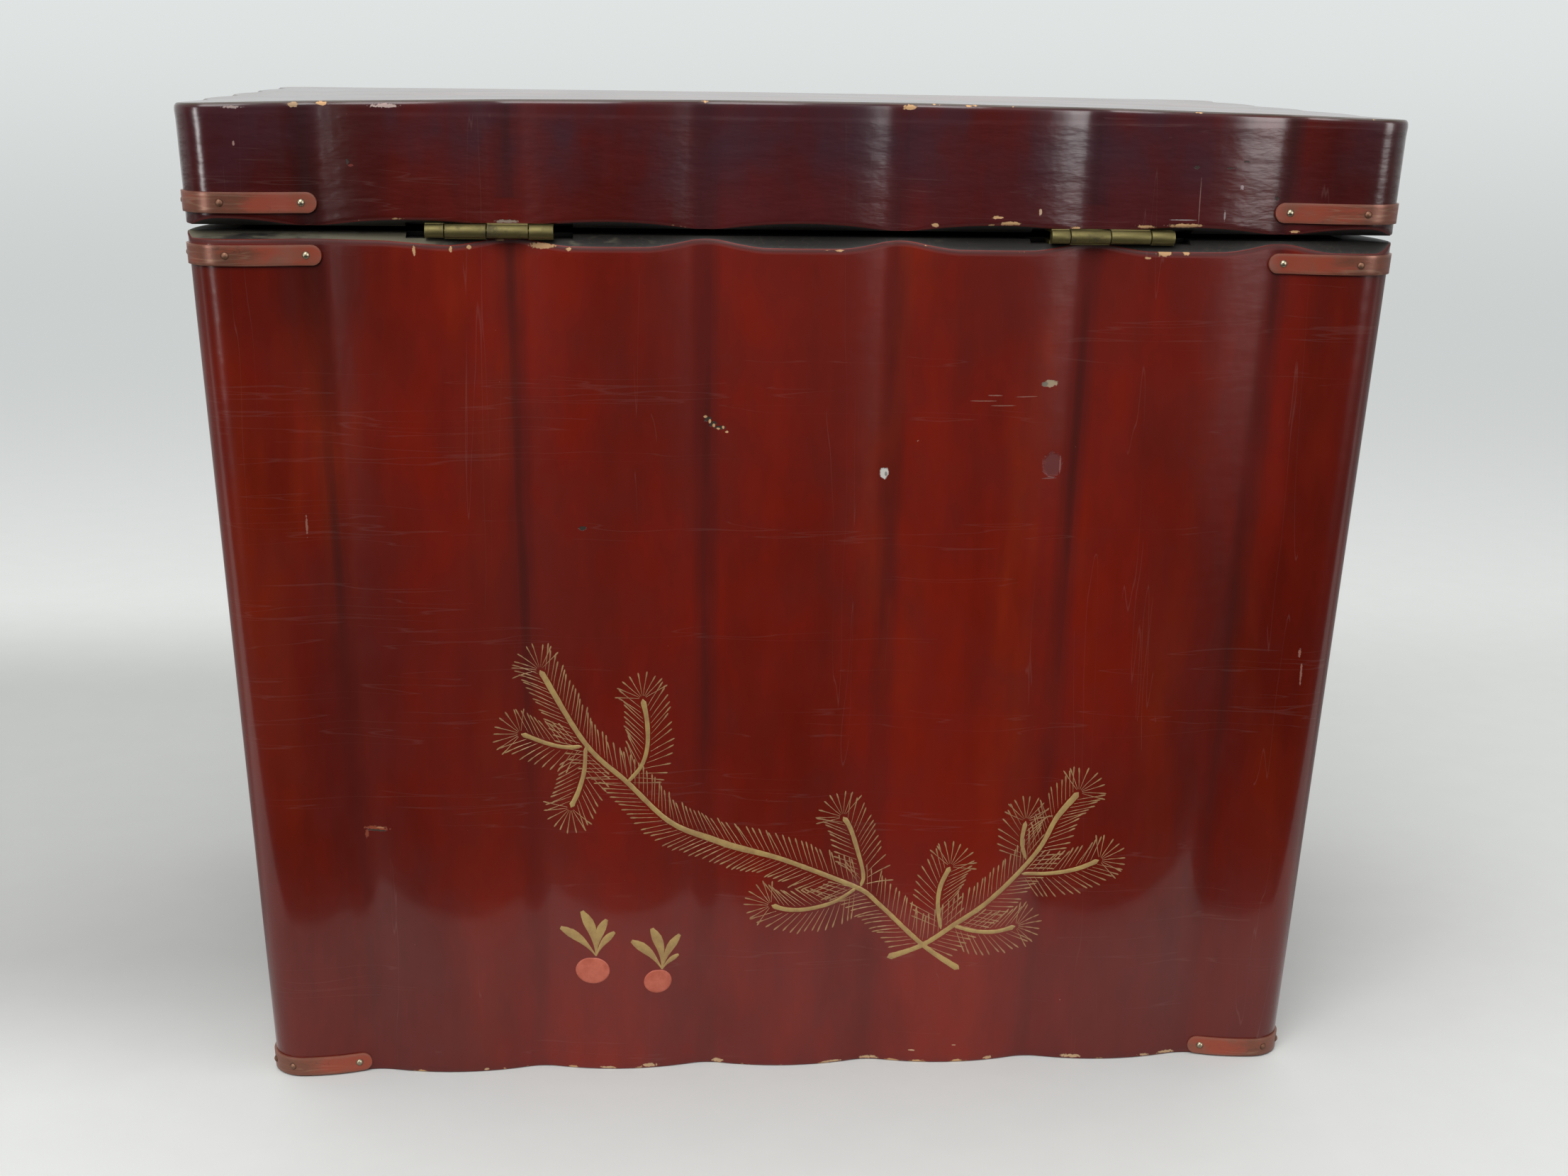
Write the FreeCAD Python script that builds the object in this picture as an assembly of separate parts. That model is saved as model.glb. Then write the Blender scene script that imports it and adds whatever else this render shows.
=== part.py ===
"""Fluted lacquer sewing box: flared walls, hinged lid, corner straps and a lift-out tray.

X runs along the hinged rear wall, Y points from the front to the rear and Z points up.
The origin is the middle of the base, on the table. All sizes are millimetres and degrees.
"""
import FreeCAD, Part
import math
import os

Vector = FreeCAD.Vector
X_AXIS = Vector(1, 0, 0)
Y_AXIS = Vector(0, 1, 0)
Z_AXIS = Vector(0, 0, 1)

# Outline, measured at the level of the lid's top edge
box_width = 300.0
box_depth = 204.0
corner_part = 30.0          # from the corner to the first valley
corner_radius = 9.0
flute_rise = 3.3            # from a valley up to a crest
valley_radius = 17.0
rear_flutes = 5
side_flutes = 3
base_share = 0.905          # size of the outline at the table

# Heights and boards
body_height = 222.0
rear_gap = 1.8              # between the two rims, over the hinges
lid_height = 28.2
lid_panel_thickness = 6.0
rear_crown = 2.6            # rise of the lid's top, over the hinges
front_crown = 0.4
wall_thickness = 8.0        # from a valley to the inner face
base_thickness = 7.0
lid_seat_clearance = 0.1
body_bevel_angle = 38.0
lid_bevel_angle = 30.0

# Corner straps and their nails
strap_leg = 32.0
strap_height = 4.9
strap_thickness = 0.6
strap_from_rim = 2.9
strap_from_table = 0.4
strap_end_nail = 3.8        # from the round end
strap_corner_nail = 9.6     # from the corner
foot_strap_leg = 25.4       # the straps at the foot are shorter
foot_end_nail = 3.3
foot_corner_nail = 5.2
nail_head_radius = 0.9
nail_head_height = 0.45
nail_head_lift = 0.03       # of a flat head over the curved strap
nail_shank_radius = 0.4
nail_length = 5.0

# Hinges, whose axis lies behind the rims, in the groove between the two bevels
hinge_spacing = 152.0
hinge_axis_reach = 2.0      # from the rim's rear line out to the axis
knuckle_radius = 1.65
end_knuckle_length = 4.5
middle_knuckle_length = 9.8
last_knuckle_length = 5.8
knuckle_gap = 0.25
barrel_relief = 0.3
pin_radius = 0.6
pin_clearance = 0.05
leaf_thickness = 0.9
leaf_reach = 7.0            # from the rim's rear line inwards
leaf_setback = 0.45
mortise_width = 40.0
mortise_depth = 1.0
hinge_nail_spacing = 10.5
hinge_nail_inset = 4.2
hinge_nail_head_radius = 1.0
hinge_nail_head_height = 0.35

# Front catch: a hook on the body and a stud on the lid
hook_length = 24.0          # from pivot to stud
hook_pivot_drop = 14.0      # below the body's rim
hook_thickness = 1.2
hook_bar_width = 3.2
hook_eye_radius = 3.4
hook_tail = 6.0
hook_mouth_clearance = 0.35
hook_end_play = 0.1
collar_radius = 1.9
collar_thickness = 0.5
stud_neck_radius = 1.0
stud_play = 0.6             # behind and before the hook, at the stud
stud_head_radius = 2.4
stud_head_height = 1.1
screw_shank_radius = 0.8
screw_shank_length = 6.0

# Lift-out tray and its ledges
tray_below_rim = 5.0
tray_height = 42.0
tray_clearance = 1.2
tray_rest_gap = 0.05
tray_wall = 4.0
tray_base = 3.0
divider_thickness = 3.0
divider_height = 32.0
long_divider_share = 0.3    # its place along the tray's depth, from the rear
cross_divider_shares = (0.3, 0.7)
finger_notch_width = 26.0
finger_notch_depth = 9.0
ledge_width = 7.0
ledge_height = 8.0

overrun = 5.0               # how far a cut runs past what it cuts

# Places worked out from the sizes above
total_height = body_height + rear_gap + lid_height
flare = (1.0 - base_share) / total_height
lid_rim = body_height + rear_gap
lid_panel_bottom = total_height - lid_panel_thickness
half_width = box_width / 2
half_depth = box_depth / 2
hinge_height = body_height + rear_gap / 2
barrel_length = (end_knuckle_length + 2 * middle_knuckle_length + last_knuckle_length
                 + 3 * knuckle_gap)
tray_bottom = body_height - tray_below_rim - tray_height
tray_top = tray_bottom + tray_height
ledge_top = tray_bottom - tray_rest_gap

# Each side of the box: its turn about Z, its half length, its distance from the middle, its flutes
SIDES = {
    "rear": (0.0, half_width, half_depth, rear_flutes),
    "right": (-90.0, half_depth, half_width, side_flutes),
    "front": (180.0, half_width, half_depth, rear_flutes),
    "left": (90.0, half_depth, half_width, side_flutes),
}


def scale_at(height):
    """Size of the outline at a height, as a share of its size at the lid's top edge."""
    return base_share + flare * height


def valley_line(half, height):
    """Distance of a side's valleys from the middle of the box."""
    return scale_at(height) * (half - flute_rise)


def inner_half(half, height):
    """Distance of a side's inner face from the middle of the box."""
    return valley_line(half, height) - wall_thickness


rim_line = valley_line(half_depth, body_height)
lid_rim_line = valley_line(half_depth, lid_rim)
hinge_line = rim_line + hinge_axis_reach
lid_tilt = math.degrees(math.asin(
    (rear_gap - lid_seat_clearance) / (hinge_line + scale_at(lid_rim) * half_depth)))


band_arcs = 6               # arcs of a side, from its corner, that a strap's band follows


# Outline of the fluted sides

def wave(half_pitch):
    """Radius sum and slope angle of the arcs that rise from a valley to a crest."""
    radius_sum = (half_pitch ** 2 + flute_rise ** 2) / (2 * flute_rise)
    return radius_sum, math.asin(half_pitch / radius_sum)


def side_arcs(half, reach, flutes):
    """Arcs of one side from left to right: centre along, centre out, radius, two angles.

    A hollow arc has a negative radius. Angles count from the outward direction.
    """
    pitch = 2 * (half - corner_part) / flutes
    end_half = corner_part - corner_radius
    end_sum, end_angle = wave(end_half)
    flute_sum, flute_angle = wave(pitch / 2)
    eighth = math.radians(45)
    valley_out = reach - flute_rise + valley_radius
    corner_at = half - corner_radius
    valley_at = half - corner_part
    left_end = [
        (-corner_at, reach - corner_radius, corner_radius, -eighth, 0.0),
        (-corner_at, reach - end_sum + valley_radius, end_sum - valley_radius, 0.0, end_angle),
        (-valley_at, valley_out, -valley_radius, end_angle, 0.0),
        (-valley_at, valley_out, -valley_radius, 0.0, -flute_angle),
    ]
    flute_row = []
    for index in range(flutes):
        crest_at = -valley_at + (index + 0.5) * pitch
        crest_radius = flute_sum - valley_radius
        flute_row.append((crest_at, reach - crest_radius, crest_radius, -flute_angle, flute_angle))
        if index < flutes - 1:
            next_valley = crest_at + pitch / 2
            flute_row.append((next_valley, valley_out, -valley_radius, flute_angle, -flute_angle))
    right_end = [(-along, out, radius, -last, -first)
                 for along, out, radius, first, last in reversed(left_end)]
    return left_end + flute_row + right_end


def turned(turn, along, out, height):
    """Point of a side, turned to its place around the box."""
    angle = math.radians(turn)
    return Vector(along * math.cos(angle) - out * math.sin(angle),
                  along * math.sin(angle) + out * math.cos(angle), height)


def side_edges(side, height, grow=0.0, first=0, last=None):
    """Edges of a side's outline at a height, moved outwards by grow."""
    turn, half, reach, flutes = SIDES[side]
    size = scale_at(height)
    edges = []
    for along, out, radius, start, stop in side_arcs(half, reach, flutes)[first:last]:
        points = []
        for angle in (start, (start + stop) / 2, stop):
            reach_here = size * radius + grow
            points.append(turned(turn, size * along + reach_here * math.sin(angle),
                                 size * out + reach_here * math.cos(angle), height))
        edges.append(Part.Arc(*points).toShape())
    return edges


def ends_of(edges):
    """First and last point of a run of edges."""
    return edges[0].valueAt(edges[0].FirstParameter), edges[-1].valueAt(edges[-1].LastParameter)


def closed_wire(edges, corners):
    """Wire of a run of edges, closed by straight lines through the corner points."""
    first, last = ends_of(edges)
    points = [last] + corners + [first]
    lines = [Part.LineSegment(a, b).toShape() for a, b in zip(points, points[1:])]
    return Part.Wire(edges + lines)


def ruled_solid(low_wire, high_wire):
    """Solid between two wires of the same make."""
    return Part.makeLoft([low_wire, high_wire], True, True)


def wall_wire(side, height):
    """Outline of one mitred wall board at a height."""
    turn, half, reach, _flutes = SIDES[side]
    inner_along = inner_half(half, height)
    inner_out = inner_half(reach, height)
    corners = [turned(turn, inner_along, inner_out, height),
               turned(turn, -inner_along, inner_out, height)]
    return closed_wire(side_edges(side, height), corners)


def wall_board(side, low, high):
    """One fluted, flared board, mitred at both ends."""
    return ruled_solid(wall_wire(side, low), wall_wire(side, high))


def outline_solid(low, high):
    """Full block inside the fluted outline."""
    wires = []
    for height in (low, high):
        wires.append(Part.Wire([edge for side in SIDES for edge in side_edges(side, height)]))
    return ruled_solid(*wires)


def rectangle_wire(x_low, x_high, y_low, y_high, height):
    """Rectangle at a height."""
    points = [Vector(x_low, y_low, height), Vector(x_high, y_low, height),
              Vector(x_high, y_high, height), Vector(x_low, y_high, height)]
    return Part.makePolygon(points + points[:1])


def flared_block(extent_at, low, high):
    """Block whose x and y extents follow the flare of the walls."""
    return ruled_solid(rectangle_wire(*extent_at(low), low), rectangle_wire(*extent_at(high), high))


def prism_along_x(points, x_low, x_high):
    """Prism of a y-z outline between two x places."""
    corners = [Vector(x_low, y, z) for y, z in points]
    face = Part.Face(Part.makePolygon(corners + corners[:1]))
    return face.extrude(Vector(x_high - x_low, 0, 0))


def placed(shape, origin, direction):
    """Copy of a shape made along Z, set at an origin and pointed along a direction."""
    copy = shape.copy()
    copy.Placement = FreeCAD.Placement(origin, FreeCAD.Rotation(Z_AXIS, direction))
    return copy


def close_lid(shape):
    """Lid piece, lowered about the hinge axis until the lid rests on the front rim."""
    copy = shape.copy()
    copy.rotate(Vector(0, hinge_line, hinge_height), X_AXIS, lid_tilt)
    return copy


# Bevels of the two rear rims

def bevel_cut(line, height, angle, up):
    """Wedge that bevels a rear rim, from its rear line outwards."""
    far = flute_rise + overrun
    drop = far * math.tan(math.radians(angle))
    points = [(line, height), (line + far, height - up * drop),
              (line + far, height + up * overrun), (line, height + up * overrun)]
    return prism_along_x(points, -half_width - overrun, half_width + overrun)


# Nails

def nail(head_radius, head_height, length):
    """Dome-headed nail: its head stands on z = 0 and its shank points down."""
    dome = (head_radius ** 2 + head_height ** 2) / (2 * head_height)
    half_turn = math.asin(head_radius / dome) / 2
    top = Vector(0, 0, head_height)
    middle = Vector(dome * math.sin(half_turn), 0, head_height - dome + dome * math.cos(half_turn))
    rim = Vector(head_radius, 0, 0)
    neck = Vector(nail_shank_radius, 0, 0)
    tip = Vector(nail_shank_radius, 0, -length)
    foot = Vector(0, 0, -length)
    edges = [Part.Arc(top, middle, rim).toShape()]
    for a, b in ((rim, neck), (neck, tip), (tip, foot), (foot, top)):
        edges.append(Part.LineSegment(a, b).toShape())
    return Part.Face(Part.Wire(edges)).revolve(Vector(0, 0, 0), Z_AXIS, 360)


def drill(radius, length):
    """Cutter for a shank's hole, from the shank's tip out past its head."""
    return Part.makeCylinder(radius, length + overrun, Vector(0, 0, -length))


def set_at(shape, places):
    """Copies of a shape made along Z, one for each place and direction."""
    return [placed(shape, point, direction) for point, direction in places]


def surface_place(side, from_corner, end, height, grow):
    """Point and outward direction of the fluted surface, near one end of a side."""
    turn, half, reach, flutes = SIDES[side]
    size = scale_at(height)
    wanted = half - from_corner / size
    for along, out, radius, start, stop in side_arcs(half, reach, flutes):
        low = along + radius * math.sin(start)
        high = along + radius * math.sin(stop)
        if low <= wanted <= high:
            angle = math.asin((wanted - along) / radius)
            x = size * along + (size * radius + grow) * math.sin(angle)
            y = size * out + (size * radius + grow) * math.cos(angle)
            lean = flare * (x * math.sin(angle) + y * math.cos(angle)) / size
            point = turned(turn, end * x, y, height)
            direction = turned(turn, end * math.sin(angle), math.cos(angle), -lean)
            return point, direction


# Corner straps

CORNERS = {
    "rear_left": ("left", "rear"),
    "rear_right": ("rear", "right"),
    "front_right": ("right", "front"),
    "front_left": ("front", "left"),
}


def strap_band(first_side, second_side, low, high):
    """Band round one corner, longer than the strap at both ends."""
    wires = []
    for height in (low, high):
        inner, outer = (side_edges(first_side, height, grow, first=-band_arcs)
                        + side_edges(second_side, height, grow, last=band_arcs)
                        for grow in (0.0, strap_thickness))
        outer_first, outer_last = ends_of(outer)
        inner_first, inner_last = ends_of(inner)
        joints = [Part.LineSegment(outer_last, inner_last).toShape(),
                  Part.LineSegment(inner_first, outer_first).toShape()]
        wires.append(Part.Wire(Part.__sortEdges__(outer + inner + joints)))
    return ruled_solid(*wires)


def strap_leg_block(side, end, leg, low, high):
    """Block that holds one leg of a strap, with the leg's round end."""
    turn, half, reach, _flutes = SIDES[side]
    middle = (low + high) / 2
    size = scale_at(middle)
    radius = (high - low) / 2
    round_at = size * half - leg + radius
    inside = size * (reach - flute_rise - corner_radius)
    depth = size * reach + overrun - inside
    corner_at = size * half + overrun
    bar = Part.makeBox(corner_at - round_at, depth, 2 * radius, Vector(round_at, inside, low))
    cap = Part.makeCylinder(radius, depth, Vector(round_at, inside, middle), Y_AXIS)
    block = bar.fuse(cap)
    if end < 0:
        block = block.mirror(Vector(0, 0, 0), X_AXIS)
    block.rotate(Vector(0, 0, 0), Z_AXIS, turn)
    return block


RIM_LEGS = (strap_leg, strap_corner_nail, strap_end_nail)
FOOT_LEGS = (foot_strap_leg, foot_corner_nail, foot_end_nail)


def make_strap(corner, legs, low, holes):
    """Corner strap with its nail holes."""
    first_side, second_side = CORNERS[corner]
    high = low + strap_height
    band = strap_band(first_side, second_side, low, high)
    first_leg = strap_leg_block(first_side, 1, legs[0], low, high)
    second_leg = strap_leg_block(second_side, -1, legs[0], low, high)
    return band.common(first_leg.fuse(second_leg)).cut(holes)


def strap_nail_places(corner, legs, low):
    """Place and direction of the four nails of one strap."""
    first_side, second_side = CORNERS[corner]
    leg, corner_nail, end_nail = legs
    height = low + strap_height / 2
    grow = strap_thickness + nail_head_lift
    return [surface_place(side, from_corner, end, height, grow)
            for side, end in ((first_side, 1), (second_side, -1))
            for from_corner in (corner_nail, leg - end_nail)]


# Hinges

HINGES = (("left", -hinge_spacing / 2), ("right", hinge_spacing / 2))


def knuckle_spans(centre):
    """Start, end and owner of each knuckle, from the positive x end of the barrel."""
    spans = []
    place = centre + barrel_length / 2
    lengths = (end_knuckle_length, middle_knuckle_length, middle_knuckle_length, last_knuckle_length)
    for length, owner in zip(lengths, ("lid", "body", "lid", "body")):
        spans.append((place - length, place, owner))
        place -= length + knuckle_gap
    return spans


def hinge_leaf(centre, owner, holes):
    """Flat leaf with its knuckles; the lid's leaf is the body's, turned over."""
    up = 1 if owner == "body" else -1
    rim = body_height if owner == "body" else lid_rim
    seat = rim - up * mortise_depth
    seat_low = min(seat, seat + up * leaf_thickness)
    inner_edge = rim_line - leaf_reach
    plate_edge = hinge_line - knuckle_radius - leaf_setback
    start = centre - barrel_length / 2
    leaf = Part.makeBox(barrel_length, plate_edge - inner_edge, leaf_thickness,
                        Vector(start, inner_edge, seat_low))
    bore = Part.makeCylinder(pin_radius + pin_clearance, barrel_length + 2 * overrun,
                             Vector(start - overrun, hinge_line, hinge_height), X_AXIS)
    for low, high, knuckle_owner in knuckle_spans(centre):
        if knuckle_owner == owner:
            tab = Part.makeBox(high - low, hinge_line - inner_edge, leaf_thickness,
                               Vector(low, inner_edge, seat_low))
            knuckle = Part.makeCylinder(knuckle_radius, high - low,
                                        Vector(low, hinge_line, hinge_height), X_AXIS)
            leaf = leaf.fuse(tab).fuse(knuckle)
    return leaf.cut(bore).cut(holes).removeSplitter()


def hinge_pin(centre):
    """Pin, as long as the barrel."""
    return Part.makeCylinder(pin_radius, barrel_length,
                             Vector(centre - barrel_length / 2, hinge_line, hinge_height), X_AXIS)


def hinge_nail_places(centre, owner):
    """Place and direction of the nails that hold one leaf."""
    up = 1 if owner == "body" else -1
    rim = body_height if owner == "body" else lid_rim
    face = rim - up * (mortise_depth - leaf_thickness)
    return [(Vector(centre + step * hinge_nail_spacing, rim_line - hinge_nail_inset, face),
             Vector(0, 0, up)) for step in (-1, 0, 1)]


def hinge_seats(centre, owner):
    """Mortise for a leaf and the round groove behind the barrel."""
    up = 1 if owner == "body" else -1
    rim = body_height if owner == "body" else lid_rim
    seat = rim - up * mortise_depth
    mortise = Part.makeBox(mortise_width, leaf_reach + flute_rise + overrun, mortise_depth + overrun,
                           Vector(centre - mortise_width / 2, rim_line - leaf_reach,
                                  min(seat, seat + up * (mortise_depth + overrun))))
    groove = Part.makeCylinder(knuckle_radius + barrel_relief, mortise_width,
                               Vector(centre - mortise_width / 2, hinge_line, hinge_height), X_AXIS)
    return [mortise, groove]


# Front catch, made flat at the origin and leant against the middle crest of the front wall

def front_place(height):
    """Point on the front's middle crest."""
    return Vector(0, -scale_at(height) * half_depth, height)


front_direction = Vector(0, -1, -flare * half_depth)
hook_pivot_height = body_height - hook_pivot_drop
lid_drop = rear_gap - lid_seat_clearance      # of the lid at the front, when it closes
stud_height = hook_pivot_height + hook_length / math.hypot(1, flare * half_depth) + lid_drop
hook_back = collar_thickness + hook_end_play


def on_front(shape, height):
    """Shape made along Z, stood on the front with its Y pointing up the wall."""
    copy = shape.copy()
    lean = math.degrees(math.atan(flare * half_depth))
    copy.rotate(Vector(0, 0, 0), X_AXIS, 90 + lean)
    copy.translate(front_place(height))
    return copy


def stepped_pin(steps):
    """Round stack of (radius, length) steps along Z, from the tip of its shank."""
    shape = None
    place = -screw_shank_length
    for radius, length in steps:
        step = Part.makeCylinder(radius, length, Vector(0, 0, place))
        shape = step if shape is None else shape.fuse(step)
        place += length
    return shape.removeSplitter()


def catch_hook():
    """Flat hook, hanging down: an eye, a bar, a mouth that opens sideways and a thumb tail."""
    mouth_radius = stud_neck_radius + hook_mouth_clearance
    eye = Part.makeCylinder(hook_eye_radius, hook_thickness)
    head = Part.makeCylinder(hook_eye_radius, hook_thickness, Vector(0, -hook_length, 0))
    bar = Part.makeBox(hook_bar_width, hook_length + hook_eye_radius + hook_tail, hook_thickness,
                       Vector(-hook_bar_width / 2, -hook_length - hook_eye_radius - hook_tail, 0))
    tail_end = Part.makeCylinder(hook_bar_width / 2, hook_thickness,
                                 Vector(0, -hook_length - hook_eye_radius - hook_tail, 0))
    hole = Part.makeCylinder(stud_neck_radius + pin_clearance, hook_thickness)
    mouth = Part.makeCylinder(mouth_radius, hook_thickness, Vector(0, -hook_length, 0))
    slot = Part.makeBox(hook_eye_radius + overrun, 2 * mouth_radius, hook_thickness,
                        Vector(0, -hook_length - mouth_radius, 0))
    hook = eye.fuse([head, bar, tail_end]).cut(hole).cut(mouth).cut(slot).removeSplitter()
    hook.translate(Vector(0, 0, hook_back))
    return on_front(hook, hook_pivot_height)


def catch_pivot_screw():
    """Round-headed screw with a collar that keeps the hook off the wall."""
    neck = hook_thickness + 2 * hook_end_play
    return on_front(stepped_pin([(screw_shank_radius, screw_shank_length),
                                 (collar_radius, collar_thickness),
                                 (stud_neck_radius, neck),
                                 (stud_head_radius, stud_head_height)]), hook_pivot_height)


def catch_stud():
    """Round-headed stud on the lid, for the hook's mouth."""
    neck = hook_back + hook_thickness + stud_play
    return on_front(stepped_pin([(screw_shank_radius, screw_shank_length),
                                 (stud_neck_radius, neck),
                                 (stud_head_radius, stud_head_height)]), stud_height)


# Lid top

def crown_block():
    """Everything under the lid's crowned top."""
    wires = []
    side_reach = half_width + overrun
    for y, crown in ((-half_depth - overrun, front_crown), (half_depth + overrun, rear_crown)):
        edge_fall = crown * (side_reach / half_width) ** 2 - crown
        left = Vector(-side_reach, y, total_height - edge_fall)
        right = Vector(side_reach, y, total_height - edge_fall)
        arc = Part.Arc(left, Vector(0, y, total_height + crown), right).toShape()
        corners = [Vector(side_reach, y, body_height), Vector(-side_reach, y, body_height)]
        wires.append(closed_wire([arc], corners))
    return ruled_solid(*wires)


def lid_top_panel():
    """Crowned board over the lid's four walls."""
    block = outline_solid(lid_panel_bottom, total_height + rear_crown + overrun)
    return block.common(crown_block())


# Tray

def tray_half(half, height):
    """Distance of the tray's outer face from the middle of the box."""
    return inner_half(half, height) - tray_clearance


def side_strip(side, half_at, width, low, high, end_inset=0.0):
    """Upright strip along one side, inwards from the half sizes that half_at gives."""
    def extent(height):
        x_half = half_at(half_width, height)
        y_half = half_at(half_depth, height)
        if side == "rear":
            return -x_half, x_half, y_half - width, y_half
        if side == "front":
            return -x_half, x_half, -y_half, width - y_half
        if side == "right":
            return x_half - width, x_half, end_inset - y_half, y_half - end_inset
        return -x_half, width - x_half, end_inset - y_half, y_half - end_inset
    return flared_block(extent, low, high)


def finger_notch(side):
    """Round-bottomed cut for a finger, in the middle of a tray end."""
    sign = 1 if side == "right" else -1
    half_notch = finger_notch_width / 2
    radius = (half_notch ** 2 + finger_notch_depth ** 2) / (2 * finger_notch_depth)
    x_inner = tray_half(half_width, tray_bottom) - tray_wall - overrun
    centre = Vector(sign * x_inner, 0, tray_top - finger_notch_depth + radius)
    return Part.makeCylinder(radius, tray_wall + 3 * overrun, centre, Vector(sign, 0, 0))


def tray_floor():
    """Tray base between the four tray walls."""
    def extent(height):
        x_half = tray_half(half_width, height) - tray_wall
        y_half = tray_half(half_depth, height) - tray_wall
        return -x_half, x_half, -y_half, y_half
    return flared_block(extent, tray_bottom, tray_bottom + tray_base)


def long_divider_centre():
    """Middle of the long divider, worked out from the tray's inner depth."""
    y_half = tray_half(half_depth, tray_bottom) - tray_wall
    return y_half * (1 - 2 * long_divider_share)


def long_divider():
    """Divider along the tray."""
    def extent(height):
        x_half = tray_half(half_width, height) - tray_wall
        middle = long_divider_centre()
        return -x_half, x_half, middle - divider_thickness / 2, middle + divider_thickness / 2
    low = tray_bottom + tray_base
    return flared_block(extent, low, low + divider_height)


def cross_divider(share):
    """Divider from the tray's front wall to the long divider."""
    def extent(height):
        x_half = tray_half(half_width, tray_bottom) - tray_wall
        y_low = tray_wall - tray_half(half_depth, height)
        y_high = long_divider_centre() - divider_thickness / 2
        middle = x_half * (2 * share - 1)
        return middle - divider_thickness / 2, middle + divider_thickness / 2, y_low, y_high
    low = tray_bottom + tray_base
    return flared_block(extent, low, low + divider_height)


def ledge(side):
    """Strip glued to a wall, under the tray."""
    return side_strip(side, inner_half, ledge_width, ledge_top - ledge_height, ledge_top, ledge_width)


def base_board():
    """Base between the four walls."""
    def extent(height):
        x_half = inner_half(half_width, height)
        y_half = inner_half(half_depth, height)
        return -x_half, x_half, -y_half, y_half
    return flared_block(extent, 0, base_thickness)


def add_straps(parts, prefix, legs, low, finish):
    """Four corner straps and their nails at one level; returns the cutters of the nail holes."""
    shape = nail(nail_head_radius, nail_head_height, nail_length)
    cutter = drill(nail_shank_radius, nail_length)
    nails = []
    holes = []
    for corner in CORNERS:
        places = strap_nail_places(corner, legs, low)
        nails += set_at(shape, places)
        corner_holes = set_at(cutter, places)
        holes += corner_holes
        parts[f"{prefix}_strap_{corner}"] = finish(make_strap(corner, legs, low, corner_holes))
    parts[f"{prefix}_strap_nails"] = Part.makeCompound([finish(each) for each in nails])
    return [finish(each) for each in holes]


def add_leaves(parts, owner, finish):
    """Both leaves of one owner and their nails; returns the cutters of the nail holes."""
    shape = nail(hinge_nail_head_radius, hinge_nail_head_height, nail_length)
    cutter = drill(nail_shank_radius, nail_length)
    nails = []
    holes = []
    for name, centre in HINGES:
        places = hinge_nail_places(centre, owner)
        nails += set_at(shape, places)
        leaf_holes = set_at(cutter, places)
        holes += leaf_holes
        parts[f"{name}_hinge_{owner}_leaf"] = finish(hinge_leaf(centre, owner, leaf_holes))
    parts[f"hinge_{owner}_nails"] = Part.makeCompound([finish(each) for each in nails])
    return holes


def add_body(parts):
    """Body walls, base, straps, hinge halves, catch pivot and tray ledges."""
    top_low = body_height - strap_from_rim - strap_height
    strap_holes = add_straps(parts, "body_top", RIM_LEGS, top_low, Part.Shape.copy)
    strap_holes += add_straps(parts, "body_bottom", FOOT_LEGS, strap_from_table, Part.Shape.copy)
    rear_cuts = add_leaves(parts, "body", Part.Shape.copy)
    for name, centre in HINGES:
        parts[f"{name}_hinge_pin"] = hinge_pin(centre)
        rear_cuts += hinge_seats(centre, "body")
    parts["catch_pivot_screw"] = catch_pivot_screw()
    bevel = bevel_cut(rim_line, body_height, body_bevel_angle, 1)
    for side in SIDES:
        wall = wall_board(side, 0, body_height)
        if side != "front":
            wall = wall.cut(bevel)
        if side == "rear":
            wall = wall.cut(rear_cuts)
        if side == "front":
            wall = wall.cut(on_front(drill(screw_shank_radius, screw_shank_length), hook_pivot_height))
        parts[f"{side}_wall"] = wall.cut(strap_holes)
    parts["base_board"] = base_board()
    for side in SIDES:
        parts[f"tray_ledge_{side}"] = ledge(side)


def add_lid(parts):
    """Lid walls, top, straps, hinge halves and catch stud, all closed onto the body."""
    strap_holes = add_straps(parts, "lid", RIM_LEGS, lid_rim + strap_from_rim, close_lid)
    rear_cuts = add_leaves(parts, "lid", close_lid)
    for _name, centre in HINGES:
        rear_cuts += hinge_seats(centre, "lid")
    parts["catch_stud"] = close_lid(catch_stud())
    bevel = bevel_cut(lid_rim_line, lid_rim, lid_bevel_angle, -1)
    for side in SIDES:
        wall = wall_board(side, lid_rim, lid_panel_bottom)
        if side != "front":
            wall = wall.cut(bevel)
        if side == "rear":
            wall = wall.cut(rear_cuts)
        if side == "front":
            wall = wall.cut(on_front(drill(screw_shank_radius, screw_shank_length), stud_height))
        parts[f"lid_{side}_wall"] = close_lid(wall).cut(strap_holes)
    parts["lid_top_panel"] = close_lid(lid_top_panel())


def add_tray(parts):
    """Lift-out tray: four walls, floor and dividers."""
    for side in ("rear", "front"):
        parts[f"tray_{side}_wall"] = side_strip(side, tray_half, tray_wall, tray_bottom, tray_top)
    for side in ("left", "right"):
        end = side_strip(side, tray_half, tray_wall, tray_bottom, tray_top, tray_wall)
        parts[f"tray_{side}_wall"] = end.cut(finger_notch(side))
    parts["tray_floor"] = tray_floor()
    parts["tray_long_divider"] = long_divider()
    for number, share in enumerate(cross_divider_shares, 1):
        parts[f"tray_cross_divider_{number}"] = cross_divider(share)


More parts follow.
